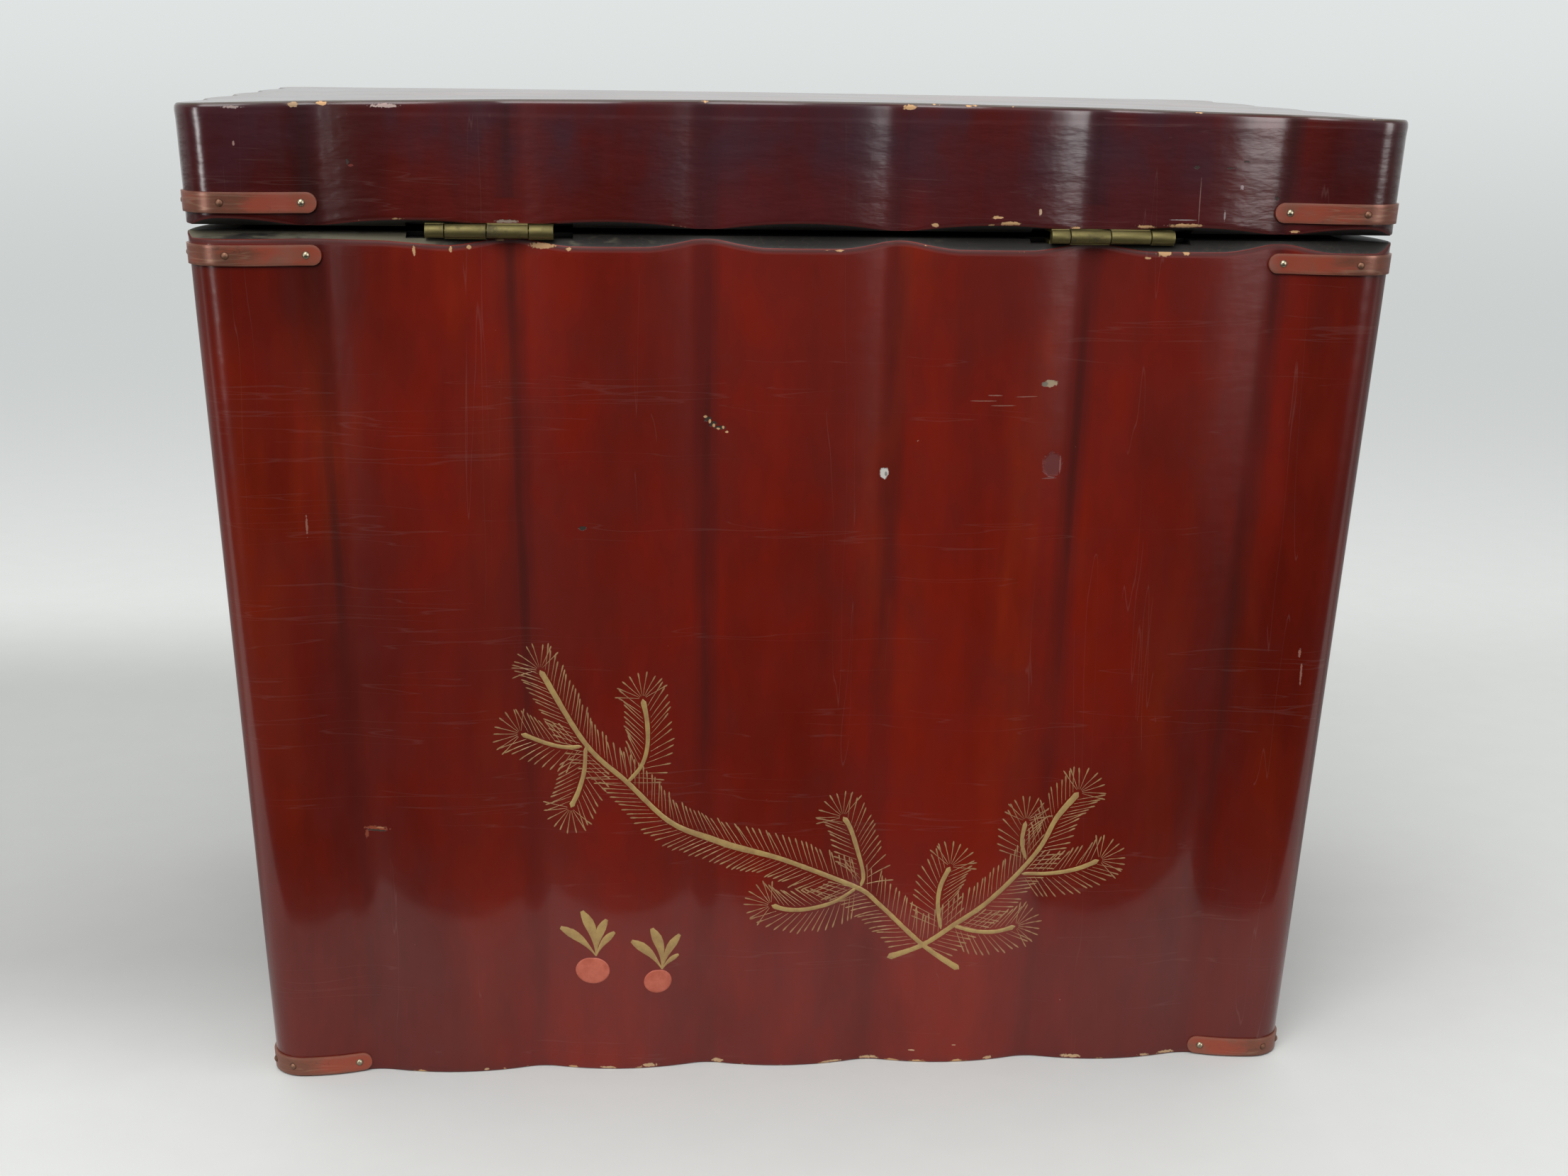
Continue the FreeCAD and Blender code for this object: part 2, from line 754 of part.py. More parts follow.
def main():
    """Build every piece and write one file for each."""
    parts = {}
    add_body(parts)
    add_lid(parts)
    add_tray(parts)
    parts["catch_hook"] = catch_hook()
    os.makedirs("parts", exist_ok=True)
    for name, shape in parts.items():
        shape.exportStep(f"parts/{name}.step")
        print(f"{name}: {len(shape.Solids)} solids, {shape.Volume:.1f} mm3, valid {shape.isValid()}")
    print(f"hinge axis y {hinge_line:.4f} z {hinge_height:.4f}, lid tilt {lid_tilt:.4f}")
    print(f"hook pivot {front_place(hook_pivot_height)}, axis {front_direction}")
    print(f"inner half width and depth at the rim {inner_half(half_width, body_height):.3f}"
          f" {inner_half(half_depth, body_height):.3f}, at the base board"
          f" {inner_half(half_width, base_thickness):.3f} {inner_half(half_depth, base_thickness):.3f}")


main()
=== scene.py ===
"""Looks of a flared, fluted red lacquer sewing box with a hinged lid and a lift-out tray.

Sizes in the classes are millimetres and degrees; MM turns them into metres, in which materials work.
X runs along the hinged rear wall, Y points to the rear and Z points up.
"""
import logging
import math
import random
from contextlib import contextmanager
from dataclasses import dataclass
from enum import Enum
from typing import Any, Callable, Iterator, Sequence

import bpy
import numpy as np
from mathutils import Matrix, Vector

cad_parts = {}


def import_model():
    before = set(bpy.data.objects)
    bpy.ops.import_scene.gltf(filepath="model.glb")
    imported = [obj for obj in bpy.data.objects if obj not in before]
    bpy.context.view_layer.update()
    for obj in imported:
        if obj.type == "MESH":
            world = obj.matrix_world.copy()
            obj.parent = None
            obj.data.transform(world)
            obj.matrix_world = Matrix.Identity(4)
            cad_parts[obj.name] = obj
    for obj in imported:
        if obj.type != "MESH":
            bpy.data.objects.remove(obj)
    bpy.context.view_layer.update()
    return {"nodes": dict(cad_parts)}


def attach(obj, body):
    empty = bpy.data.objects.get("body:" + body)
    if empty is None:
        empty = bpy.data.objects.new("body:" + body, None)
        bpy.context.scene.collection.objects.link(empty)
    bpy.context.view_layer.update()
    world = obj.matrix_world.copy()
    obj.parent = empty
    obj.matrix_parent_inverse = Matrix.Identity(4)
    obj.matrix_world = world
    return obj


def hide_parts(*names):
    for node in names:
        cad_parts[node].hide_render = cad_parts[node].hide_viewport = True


logging.basicConfig(level=logging.INFO, format="%(message)s")
log = logging.getLogger("sewing_box")

MM = 0.001
WELD = 1e-7
Colour = tuple[float, float, float]
Point = tuple[float, float, float]
Flat = tuple[float, float]
Object = bpy.types.Object
Material = bpy.types.Material


class Carrier(Enum):
    """Bodies that the pieces made here ride on."""

    CASE = "case"
    LID = "lid"


class Finish(Enum):
    """Material slot names of the model; nothing in this script uses them."""

    BODY_LACQUER = "body_lacquer"
    LID_LACQUER = "lid_lacquer"
    STRAP_PAINT = "strap_paint"
    NAIL_BRASS = "nail_brass"


class Side(Enum):
    """Sides of the box and their turns about Z."""

    REAR = 0.0
    RIGHT = -90.0
    FRONT = 180.0
    LEFT = 90.0


def mix_points(first: Sequence[float], second: Sequence[float], share: float) -> list[float]:
    """Point at a share of the way from the first point to the second."""
    return [a + (b - a) * share for a, b in zip(first, second)]


def step_towards(point: Sequence[float], direction: Sequence[float], length: float) -> list[float]:
    """Point moved along a direction by a length."""
    return [a + b * length for a, b in zip(point, direction)]


# Outline of the box

@dataclass(frozen=True)
class Station:
    """One column of the fluted outline, at the size it has at the lid's top edge."""

    side: Side
    along: float
    out: float
    radius: float
    angle: float
    dip: float

    def place(self, size: float, grow: float = 0.0) -> Flat:
        """Finds the column at a size of the outline.

        Args:
            size: share of the outline's full size.
            grow: how far outwards from the outline, in mm.

        Returns:
            The x and y of the point.
        """
        reach = size * self.radius + grow
        along = size * self.along + reach * math.sin(self.angle)
        out = size * self.out + reach * math.cos(self.angle)
        return turned(self.side, along, out)

    def normal(self) -> Flat:
        """Outward direction of the column in plan."""
        return turned(self.side, math.sin(self.angle), math.cos(self.angle))


def turned(side: Side, along: float, out: float) -> Flat:
    """Turns a point of the rear side to the same place of another side."""
    angle = math.radians(side.value)
    return along * math.cos(angle) - out * math.sin(angle), along * math.sin(angle) + out * math.cos(angle)


@dataclass
class Outline:
    """Fluted outline that flares from the table to the lid's top edge."""

    width: float = 300.0
    depth: float = 204.0
    corner_part: float = 30.0
    corner_radius: float = 9.0
    flute_rise: float = 3.3
    valley_radius: float = 17.0
    rear_flutes: int = 5
    side_flutes: int = 3
    base_share: float = 0.905
    total_height: float = 252.0
    wall: float = 8.0

    @property
    def flare(self) -> float:
        """Growth of the outline for each mm of height."""
        return (1.0 - self.base_share) / self.total_height

    def scale_at(self, height: float) -> float:
        """Size of the outline at a height, as a share of its full size."""
        return self.base_share + self.flare * height

    def halves(self, side: Side) -> tuple[float, float, int]:
        """Half length of a side, its distance from the middle and its flutes."""
        if side in (Side.REAR, Side.FRONT):
            return self.width / 2, self.depth / 2, self.rear_flutes
        return self.depth / 2, self.width / 2, self.side_flutes

    def inner_half(self, half: float, height: float) -> float:
        """Distance of a side's inner face from the middle of the box."""
        return self.scale_at(height) * (half - self.flute_rise) - self.wall

    def arcs(self, side: Side) -> list[tuple[float, float, float, float, float]]:
        """Lists the arcs of one side from left to right.

        Args:
            side: the side of the box.

        Returns:
            Centre along, centre out, radius (negative in a valley) and two angles of each arc.
        """
        half, reach, flutes = self.halves(side)
        pitch = 2 * (half - self.corner_part) / flutes
        rise, hollow = self.flute_rise, self.valley_radius

        def wave(half_pitch: float) -> Flat:
            """Radius sum and slope angle of the arcs from a valley to a crest."""
            radius_sum = (half_pitch ** 2 + rise ** 2) / (2 * rise)
            return radius_sum, math.asin(half_pitch / radius_sum)

        end_sum, end_angle = wave(self.corner_part - self.corner_radius)
        flute_sum, flute_angle = wave(pitch / 2)
        valley_out = reach - rise + hollow
        corner_at = half - self.corner_radius
        valley_at = half - self.corner_part
        left_end = [
            (-corner_at, reach - self.corner_radius, self.corner_radius, -math.pi / 4, 0.0),
            (-corner_at, reach - end_sum + hollow, end_sum - hollow, 0.0, end_angle),
            (-valley_at, valley_out, -hollow, end_angle, 0.0),
            (-valley_at, valley_out, -hollow, 0.0, -flute_angle),
        ]
        row = []
        for index in range(flutes):
            crest_at = -valley_at + (index + 0.5) * pitch
            crest_radius = flute_sum - hollow
            row.append((crest_at, reach - crest_radius, crest_radius, -flute_angle, flute_angle))
            if index < flutes - 1:
                row.append((crest_at + pitch / 2, valley_out, -hollow, flute_angle, -flute_angle))
        right_end = [(-along, out, radius, -last, -first) for along, out, radius, first, last in reversed(left_end)]
        return left_end + row + right_end

    def station(self, side: Side, along: float, out: float, radius: float, angle: float) -> Station:
        """Column on one arc of a side, with its dip from 0 on a crest to 1 in a valley."""
        reach = self.halves(side)[1]
        dip = (reach - out - radius * math.cos(angle)) / self.flute_rise
        if radius == self.corner_radius:
            dip = 0.0
        return Station(side, along, out, radius, angle, min(max(dip, 0.0), 1.0))

    def ring(self) -> list[Station]:
        """Columns all round the box, from the rear side's left end clockwise."""
        columns = []
        for side in Side:
            for along, out, radius, start, stop in self.arcs(side):
                span = abs(stop - start) * abs(radius)
                parts = 16 if span > 30 else 8 if radius > 0 or abs(stop - start) > 0.4 else 4
                for index in range(parts):
                    angle = start + (stop - start) * index / parts
                    columns.append(self.station(side, along, out, radius, angle))
        return columns

    def station_at(self, side: Side, wanted: float) -> Station:
        """Column of a side at a distance from its middle, at the outline's full size."""
        for along, out, radius, start, stop in self.arcs(side):
            low = along + radius * math.sin(start)
            high = along + radius * math.sin(stop)
            if low - 1e-9 <= wanted <= high + 1e-9:
                share = min(max((wanted - along) / radius, -1.0), 1.0)
                return self.station(side, along, out, radius, math.asin(share))
        raise ValueError(f"{wanted} mm is past the end of {side.name}")

    def wall_point(self, station: Station, height: float, grow: float = 0.0) -> list[float]:
        """Point of a column's wall, or some mm in front of it, at a height."""
        return [*station.place(self.scale_at(height), grow), height]

    def on_side(self, side: Side, across: float, height: float, lift: float = 0.0) -> Point:
        """Finds a point on or over a wall.

        Args:
            side: the side of the box.
            across: distance from the side's middle, in mm at that height.
            height: height over the table, in mm.
            lift: distance over the wall, in mm.

        Returns:
            The point in mm.
        """
        size = self.scale_at(height)
        x, y = self.station_at(side, across / size).place(size, lift)
        return x, y, height


# Work at the bench: operators on one piece at a time

def deselect_all() -> None:
    """Leaves nothing selected."""
    bpy.ops.object.select_all(action="DESELECT")


def pick(obj: Object) -> None:
    """Makes one object the only selected one and the active one."""
    deselect_all()
    obj.select_set(True)
    bpy.context.view_layer.objects.active = obj


@contextmanager
def editing(obj: Object) -> Iterator[Object]:
    """Opens an object in edit mode with all of it selected, and closes it again."""
    pick(obj)
    bpy.ops.object.mode_set(mode="EDIT")
    bpy.ops.mesh.select_mode(type="VERT")
    bpy.ops.mesh.select_all(action="SELECT")
    yield obj
    bpy.ops.object.mode_set(mode="OBJECT")


def rename(obj: Object, name: str) -> Object:
    """Names an object and its mesh."""
    obj.name = name
    obj.data.name = name
    return obj


def settle(obj: Object) -> None:
    """Moves an object's place, turn and size into its mesh."""
    pick(obj)
    bpy.ops.object.transform_apply(location=True, rotation=True, scale=True)


def apply_modifier(obj: Object, kind: str, **settings: Any) -> None:
    """Adds one modifier with its settings and applies it."""
    pick(obj)
    modifier = obj.modifiers.new(kind.title(), kind)
    for key, value in settings.items():
        setattr(modifier, key, value)
    bpy.ops.object.modifier_apply(modifier=modifier.name)


def cut_away(obj: Object, cutters: Sequence[Object], bare: Material) -> None:
    """Cuts pieces out of an object, gives the cut faces a finish and removes the cutters."""
    for cutter in cutters:
        cutter.data.materials.append(bare)
        settle(cutter)
        apply_modifier(obj, "BOOLEAN", operation="DIFFERENCE", solver="EXACT", object=cutter,
                       material_mode="TRANSFER")
        bpy.data.objects.remove(cutter)


def join(pieces: Sequence[Object], name: str) -> Object:
    """Joins pieces into the first one."""
    pick(pieces[0])
    for piece in pieces:
        piece.select_set(True)
    if len(pieces) > 1:
        bpy.ops.object.join()
    return rename(bpy.context.view_layer.objects.active, name)


def smooth(obj: Object, angle: float = 35.0) -> None:
    """Shades an object smooth up to an edge angle in degrees."""
    pick(obj)
    bpy.ops.object.shade_smooth_by_angle(angle=math.radians(angle))


def copied(source: Object) -> Object:
    """Copy of an object with its own mesh."""
    copy = source.copy()
    copy.data = source.data.copy()
    bpy.context.scene.collection.objects.link(copy)
    return copy


def turn_outwards(merge: bool = False) -> None:
    """In edit mode, merges doubles where asked and points all faces outwards."""
    bpy.ops.mesh.select_all(action="SELECT")
    if merge:
        bpy.ops.mesh.remove_doubles(threshold=WELD)
    bpy.ops.mesh.normals_make_consistent(inside=False)


def block(low: Point, high: Point) -> Object:
    """Box between two corners in mm."""
    centre = [(a + b) / 2 * MM for a, b in zip(low, high)]
    size = [(b - a) * MM for a, b in zip(low, high)]
    deselect_all()
    bpy.ops.mesh.primitive_cube_add(size=1.0, location=centre, scale=size)
    return bpy.context.object


def rod_along_x(centre: Point, radius: float, length: float, sides: int = 48) -> Object:
    """Round bar along X, sizes in mm."""
    deselect_all()
    bpy.ops.mesh.primitive_cylinder_add(vertices=sides, radius=radius * MM, depth=length * MM,
                                        location=[c * MM for c in centre], rotation=(0, math.pi / 2, 0))
    return bpy.context.object


class Tube:
    """Grid of vertices made by extruding a ring again and again.

    Rows run from 0 to rows - 1 and columns go round; each vertex is placed by a function.
    """

    def __init__(self, name: str, columns: int, rows: int) -> None:
        """Extrudes the ring.

        Args:
            name: the piece's name.
            columns: vertices in each ring.
            rows: number of rings.
        """
        deselect_all()
        bpy.ops.mesh.primitive_circle_add(vertices=columns, radius=1.0, fill_type="NOTHING")
        self.obj = rename(bpy.context.object, name)
        with editing(self.obj):
            for _ in range(rows - 1):
                bpy.ops.mesh.extrude_region_move(TRANSFORM_OT_translate={"value": (0, 0, 1)})
        self.columns = columns
        self.rows = rows
        self.read_rows()

    def shape(self, grid: Sequence[Sequence[Point]], obj: Object | None = None) -> None:
        """Places each vertex of the tube, or of a copy of it, at grid[row][column], in mm."""
        mesh = (obj or self.obj).data
        mesh.vertices.foreach_set("co", (np.asarray(grid, float) * MM)[self.row, self.column].ravel())
        mesh.update()

    def read_rows(self) -> None:
        """Finds each vertex's row and column from the unshaped rings."""
        places = np.empty(len(self.obj.data.vertices) * 3)
        self.obj.data.vertices.foreach_get("co", places)
        places = places.reshape(-1, 3)
        turn = np.arctan2(-places[:, 0], places[:, 1]) % math.tau
        self.row = np.rint(places[:, 2]).astype(int)
        self.column = np.rint(turn / math.tau * self.columns).astype(int) % self.columns

    def copy_shaped(self, grid: Sequence[Sequence[Point]]) -> Object:
        """Copies the tube with its own mesh and places the copy's vertices, in mm."""
        copy = copied(self.obj)
        self.shape(grid, copy)
        return copy

    def mark(self, name: str, values: Callable[[int, int], float]) -> None:
        """Stores one number for each vertex, worked out from its row and column."""
        attribute = self.obj.data.attributes.new(name, "FLOAT", "POINT")
        numbers = [values(int(r), int(c)) for r, c in zip(self.row, self.column)]
        attribute.data.foreach_set("value", numbers)

    def paint_rows(self, material_of: Callable[[int], int]) -> None:
        """Gives each face the material index that belongs to its lower row."""
        for face in self.obj.data.polygons:
            rows = [self.row[v] for v in face.vertices]
            face.material_index = material_of(int(min(rows)))

    def close(self, bridge: bool) -> Object:
        """Closes the tube and turns its faces outwards.

        Args:
            bridge: joins the first ring with the last; otherwise each is filled.

        Returns:
            The finished object.
        """
        with editing(self.obj):
            bpy.ops.mesh.select_mode(type="EDGE")
            bpy.ops.mesh.select_all(action="DESELECT")
            bpy.ops.mesh.select_non_manifold(extend=False, use_wire=False, use_boundary=True, use_multi_face=False,
                                             use_non_contiguous=False, use_verts=False)
            if bridge:
                bpy.ops.mesh.bridge_edge_loops()
            else:
                bpy.ops.mesh.edge_face_add()
            bpy.ops.mesh.select_mode(type="VERT")
            turn_outwards(merge=True)
        return self.obj


# Node work

class Bench:
    """Adds nodes to one tree and links them."""

    def __init__(self, tree: bpy.types.NodeTree) -> None:
        """Takes the tree that the nodes go into."""
        self.tree = tree

    def feed(self, socket: bpy.types.NodeSocket, value: Any) -> None:
        """Links a socket to a wire, or sets it to a number, vector or colour."""
        if isinstance(value, Wire):
            self.tree.links.new(value.socket, socket)
        elif socket.type == "RGBA":
            socket.default_value = (*value, 1.0)
        else:
            socket.default_value = value

    def add(self, kind: str, inputs: dict[Any, Any] | None = None, output: int | str = 0, **settings: Any) -> "Wire":
        """Adds one node.

        Args:
            kind: the node's type name without its "ShaderNode" start.
            inputs: values or wires by input name or number.
            output: the output that is wanted.
            settings: properties of the node.

        Returns:
            The wanted output.
        """
        node = self.tree.nodes.new("ShaderNode" + kind)
        for key, value in settings.items():
            setattr(node, key, value)
        for key, value in (inputs or {}).items():
            self.feed(node.inputs[key], value)
        return Wire(self, node, output)

    def blend(self, share: Any, first: Any, second: Any, mode: str = "MIX") -> "Wire":
        """Two colours mixed by a share."""
        return self.add("Mix", {0: share, 6: first, 7: second}, 2, data_type="RGBA", blend_type=mode)

    def attribute(self, name: str) -> "Wire":
        """A number stored on the mesh."""
        return self.add("Attribute", output="Fac", attribute_name=name, attribute_type="GEOMETRY")

    def shader(self, **values: Any) -> None:
        """Adds the Principled shader and the output; underscores stand for spaces in input names."""
        inputs = {key.replace("_", " "): value for key, value in values.items()}
        self.add("OutputMaterial", {0: self.add("BsdfPrincipled", inputs)})


@dataclass
class Wire:
    """One output of a node; what is worked out from it adds nodes to the same tree."""

    bench: Bench
    node: bpy.types.Node
    output: int | str = 0

    @property
    def socket(self) -> bpy.types.NodeSocket:
        """The output's socket."""
        return self.node.outputs[self.output]

    def math(self, operation: str, other: Any = 0.0) -> "Wire":
        """Result of a calculation with a number or another wire."""
        return self.bench.add("Math", {0: self, 1: other}, operation=operation)

    def __add__(self, other: Any) -> "Wire":
        """Sum."""
        return self.math("ADD", other)

    def __sub__(self, other: Any) -> "Wire":
        """Difference."""
        return self.math("SUBTRACT", other)

    def __rsub__(self, other: float) -> "Wire":
        """Difference from a number."""
        return self.bench.add("Math", {0: other, 1: self}, operation="SUBTRACT")

    def __mul__(self, other: Any) -> "Wire":
        """Product."""
        return self.math("MULTIPLY", other)

    def __truediv__(self, other: Any) -> "Wire":
        """Quotient."""
        return self.math("DIVIDE", other)

    def most(self, other: Any) -> "Wire":
        """The larger one of two values."""
        return self.math("MAXIMUM", other)

    def clamped(self) -> "Wire":
        """The same result, kept from 0 to 1."""
        self.node.use_clamp = True
        return self

    def vector(self, operation: str, other: Any = (0, 0, 0), output: int | str = 0) -> "Wire":
        """Result of a calculation with another vector."""
        return self.bench.add("VectorMath", {0: self, 1: other}, output, operation=operation)

    def band(self, low: float, high: float, to_low: float = 0.0, to_high: float = 1.0) -> "Wire":
        """Value mapped smoothly and clamped from one range to another."""
        names = ("Value", "From Min", "From Max", "To Min", "To Max")
        values = (self, low, high, to_low, to_high)
        return self.bench.add("MapRange", dict(zip(names, values)), interpolation_type="SMOOTHSTEP")

    def noise(self, scale: Any, detail: float = 2.0, rough: float = 0.5) -> "Wire":
        """Cloudy noise from 0 to 1 at this place."""
        return self.bench.add("TexNoise", {"Vector": self, "Scale": scale, "Detail": detail, "Roughness": rough})

    def stretched(self, x: float, y: float, z: float, shift: Point = (0, 0, 0)) -> "Wire":
        """This place multiplied by a size for each axis, and moved."""
        return self.bench.add("Mapping", {"Vector": self, "Scale": (x, y, z), "Location": shift})

    def axes(self) -> list["Wire"]:
        """X, Y and Z of this vector."""
        node = self.bench.add("SeparateXYZ", {0: self}).node
        return [Wire(self.bench, node, axis) for axis in range(3)]

    def bump(self, distance: float) -> "Wire":
        """Normal raised by this height, at most a distance in metres."""
        return self.bench.add("Bump", {"Height": self, "Distance": distance, "Strength": 1.0})


def effect(**inputs: float | None) -> Callable[[Callable[..., Wire]], Callable[..., Wire]]:
    """Makes a shader node group, built once, out of a function that works with wires.

    Args:
        inputs: the group's inputs with their usual values; None stands for a vector.

    Returns:
        A decorator, which turns the function into one that places the group with its own values.
    """
    def wrap(work: Callable[..., Wire]) -> Callable[..., Wire]:
        """Keeps the group's tree with the function that fills it."""
        made: list[bpy.types.NodeTree] = []

        def fill() -> bpy.types.NodeTree:
            """Makes the group's tree."""
            tree = bpy.data.node_groups.new(work.__name__, "ShaderNodeTree")
            for name, usual in inputs.items():
                kind = "NodeSocketVector" if usual is None else "NodeSocketFloat"
                socket = tree.interface.new_socket(name, in_out="INPUT", socket_type=kind)
                if usual is not None:
                    socket.default_value = usual
            tree.interface.new_socket("mask", in_out="OUTPUT", socket_type="NodeSocketFloat")
            bench = Bench(tree)
            entry, leave = (tree.nodes.new("NodeGroup" + end) for end in ("Input", "Output"))
            bench.feed(leave.inputs[0], work(*(Wire(bench, entry, name) for name in inputs)))
            return tree

        def place_group(place: Wire, **values: Any) -> Wire:
            """Places the group in the tree of a place's wire."""
            if not made:
                made.append(fill())
            node = place.bench.tree.nodes.new("ShaderNodeGroup")
            node.node_tree = made[0]
            for name, value in {"place": place, **values}.items():
                place.bench.feed(node.inputs[name], value)
            return Wire(place.bench, node)

        return place_group

    return wrap


@effect(place=None, size=20.0)
def clouding(place: Wire, size: Wire) -> Wire:
    """Soft cloudy unevenness of a hand-laid coat, around 0.5: a wide noise and a fine one."""
    return place.noise(size, 3.0, 0.55) * 0.75 + place.noise(size * 7.3, 2.0, 0.6) * 0.25


@effect(place=None, size=300.0, width=0.01, share=0.5)
def scratches(place: Wire, size: Wire, width: Wire, share: Wire) -> Wire:
    """Thin broken lines along the axis that was pressed together: the middle of a noise, in patches."""
    away = (place.noise(size, 1.0, 0.4) - 0.5).math("ABSOLUTE")
    keep = place.noise(size * 0.23).math("GREATER_THAN", 1.0 - share)
    return (1.0 - away / width).clamped() * keep


@effect(place=None, edge=0.0, size=150.0, amount=0.5)
def chips(place: Wire, edge: Wire, size: Wire, amount: Wire) -> Wire:
    """Small chips that gather where the edge mark is high: noise over a bar that the mark lowers."""
    return ((place.noise(size, 4.0, 0.6) - (1.0 - edge * amount)) * 30.0).clamped()


@effect(place=None, centre=None, half_size=None, ragged=0.8)
def scuff_mask(place: Wire, centre: Wire, half_size: Wire, ragged: Wire) -> Wire:
    """Mask of one ragged mark: the distance from its middle, made uneven by noise."""
    distance = place.vector("SUBTRACT", centre).vector("DIVIDE", half_size).vector("LENGTH", output="Value")
    uneven = (place.noise(1500.0, 3.0, 0.6) - 0.5) * (ragged * 2.2)
    return ((1.0 - (distance + uneven)) * 5.0).clamped()


# Finishes

@dataclass(frozen=True)
class Scuff:
    """One mark on the rear face: its middle in x and z, its half sizes, its colour and its raggedness."""

    x: float
    z: float
    half_width: float
    half_height: float
    colour: Colour
    ragged: float = 0.8


def scuffs(*groups: tuple[Colour, tuple[tuple[float, ...], ...]]) -> list[Scuff]:
    """Marks in groups of one colour, each a row of a scuff's numbers; later ones lie on earlier ones."""
    return [Scuff(*row[:4], colour, *row[4:]) for colour, rows in groups for row in rows]


WOOD: Colour = (0.62, 0.36, 0.17)
BRUISE: Colour = (0.035, 0.022, 0.014)
CREAM: Colour = (0.56, 0.36, 0.20)
SCRATCH: Colour = (0.30, 0.115, 0.08)

BODY_SCUFFS = scuffs(
    (BRUISE, ((22.9, 176.9, 1.0, 0.7, 0.9), (21.6, 175.7, 1.0, 0.7, 0.9), (19.8, 174.8, 1.5, 0.55, 0.9),
              (54.0, 149.5, 1.1, 0.5))),
    (WOOD, ((23.5, 177.5, 0.5, 0.35, 0.6), (22.4, 176.3, 0.35, 0.6, 0.6), (21.4, 175.3, 0.4, 0.55, 0.6),
            (20.3, 174.5, 0.5, 0.3, 0.6), (19.1, 174.9, 0.3, 0.45, 0.6), (18.2, 173.8, 0.45, 0.35, 0.6),
            (63.5, 219.6, 3.2, 0.75), (73.5, 220.7, 1.0, 0.35), (80.9, 219.1, 0.6, 0.6), (93.9, 218.3, 0.4, 1.3),
            (85.2, 218.6, 0.4, 0.8), (57.0, 218.9, 0.7, 0.5), (-88.9, 219.2, 1.9, 0.8), (-94.3, 219.4, 0.9, 0.7),
            (-85.0, 218.0, 0.9, 0.35))),
    ((0.70, 0.68, 0.62), ((-21.6, 163.2, 1.2, 1.6, 0.4),)),
    ((0.30, 0.28, 0.25), ((-22.1, 163.0, 0.4, 0.7, 0.6),)),
    ((0.44, 0.33, 0.21), ((-62.4, 186.4, 2.1, 1.0, 0.6),)),
    ((0.22, 0.19, 0.14), ((-61.2, 186.3, 0.9, 0.7, 0.6),)),
    (SCRATCH, ((-45.5, 182.2, 3.6, 0.14, 0.3), (-50.5, 181.0, 3.4, 0.14, 0.3), (-56.5, 183.2, 3.0, 0.13, 0.3),
               (-48.5, 183.6, 2.2, 0.18, 0.5), (-132.4, 110.2, 0.3, 3.2), (-131.6, 116.0, 0.4, 1.2),
               (122.0, 150.0, 0.3, 2.6))),
    ((0.150, 0.022, 0.019), ((-64.2, 165.6, 2.7, 3.4, 0.3),)),
    # The pale line along the tape mark's -x edge is a painted highlight on that edge.
    ((0.27, 0.09, 0.08), ((-66.3, 165.4, 0.25, 2.6, 0.6),)),
    ((0.24, 0.08, 0.07), ((-63.5, 162.1, 1.9, 0.2, 0.6),)),
    ((0.25, 0.045, 0.012), ((107.3, 69.2, 3.4, 0.75, 0.9),)),
    (BRUISE, ((107.5, 68.7, 2.6, 0.3, 0.9),)),
    ((0.42, 0.17, 0.08), ((106.3, 69.5, 1.4, 0.25, 0.9),)),
    ((0.22, 0.04, 0.012), ((109.9, 67.5, 0.5, 1.2, 0.9),)),
    (CREAM, ((18.7, 0.9, 1.7, 0.65, 0.9), (37.0, 1.0, 2.2, 0.6, 0.9), (48.0, 0.6, 2.2, 0.4), (80.0, 0.7, 0.9, 0.4),
             (-22.5, 0.8, 2.9, 0.55, 0.9), (-12.5, 0.6, 2.8, 0.4), (-55.0, 0.8, 1.4, 0.5, 0.9),
             (-77.5, 1.0, 3.1, 0.6, 0.9), (-98.0, 0.7, 1.7, 0.5), (-104.5, 0.8, 2.6, 0.5, 0.9),
             (-34.0, 3.6, 1.1, 0.22, 0.6), (-45.3, 5.2, 0.8, 0.16))),
)
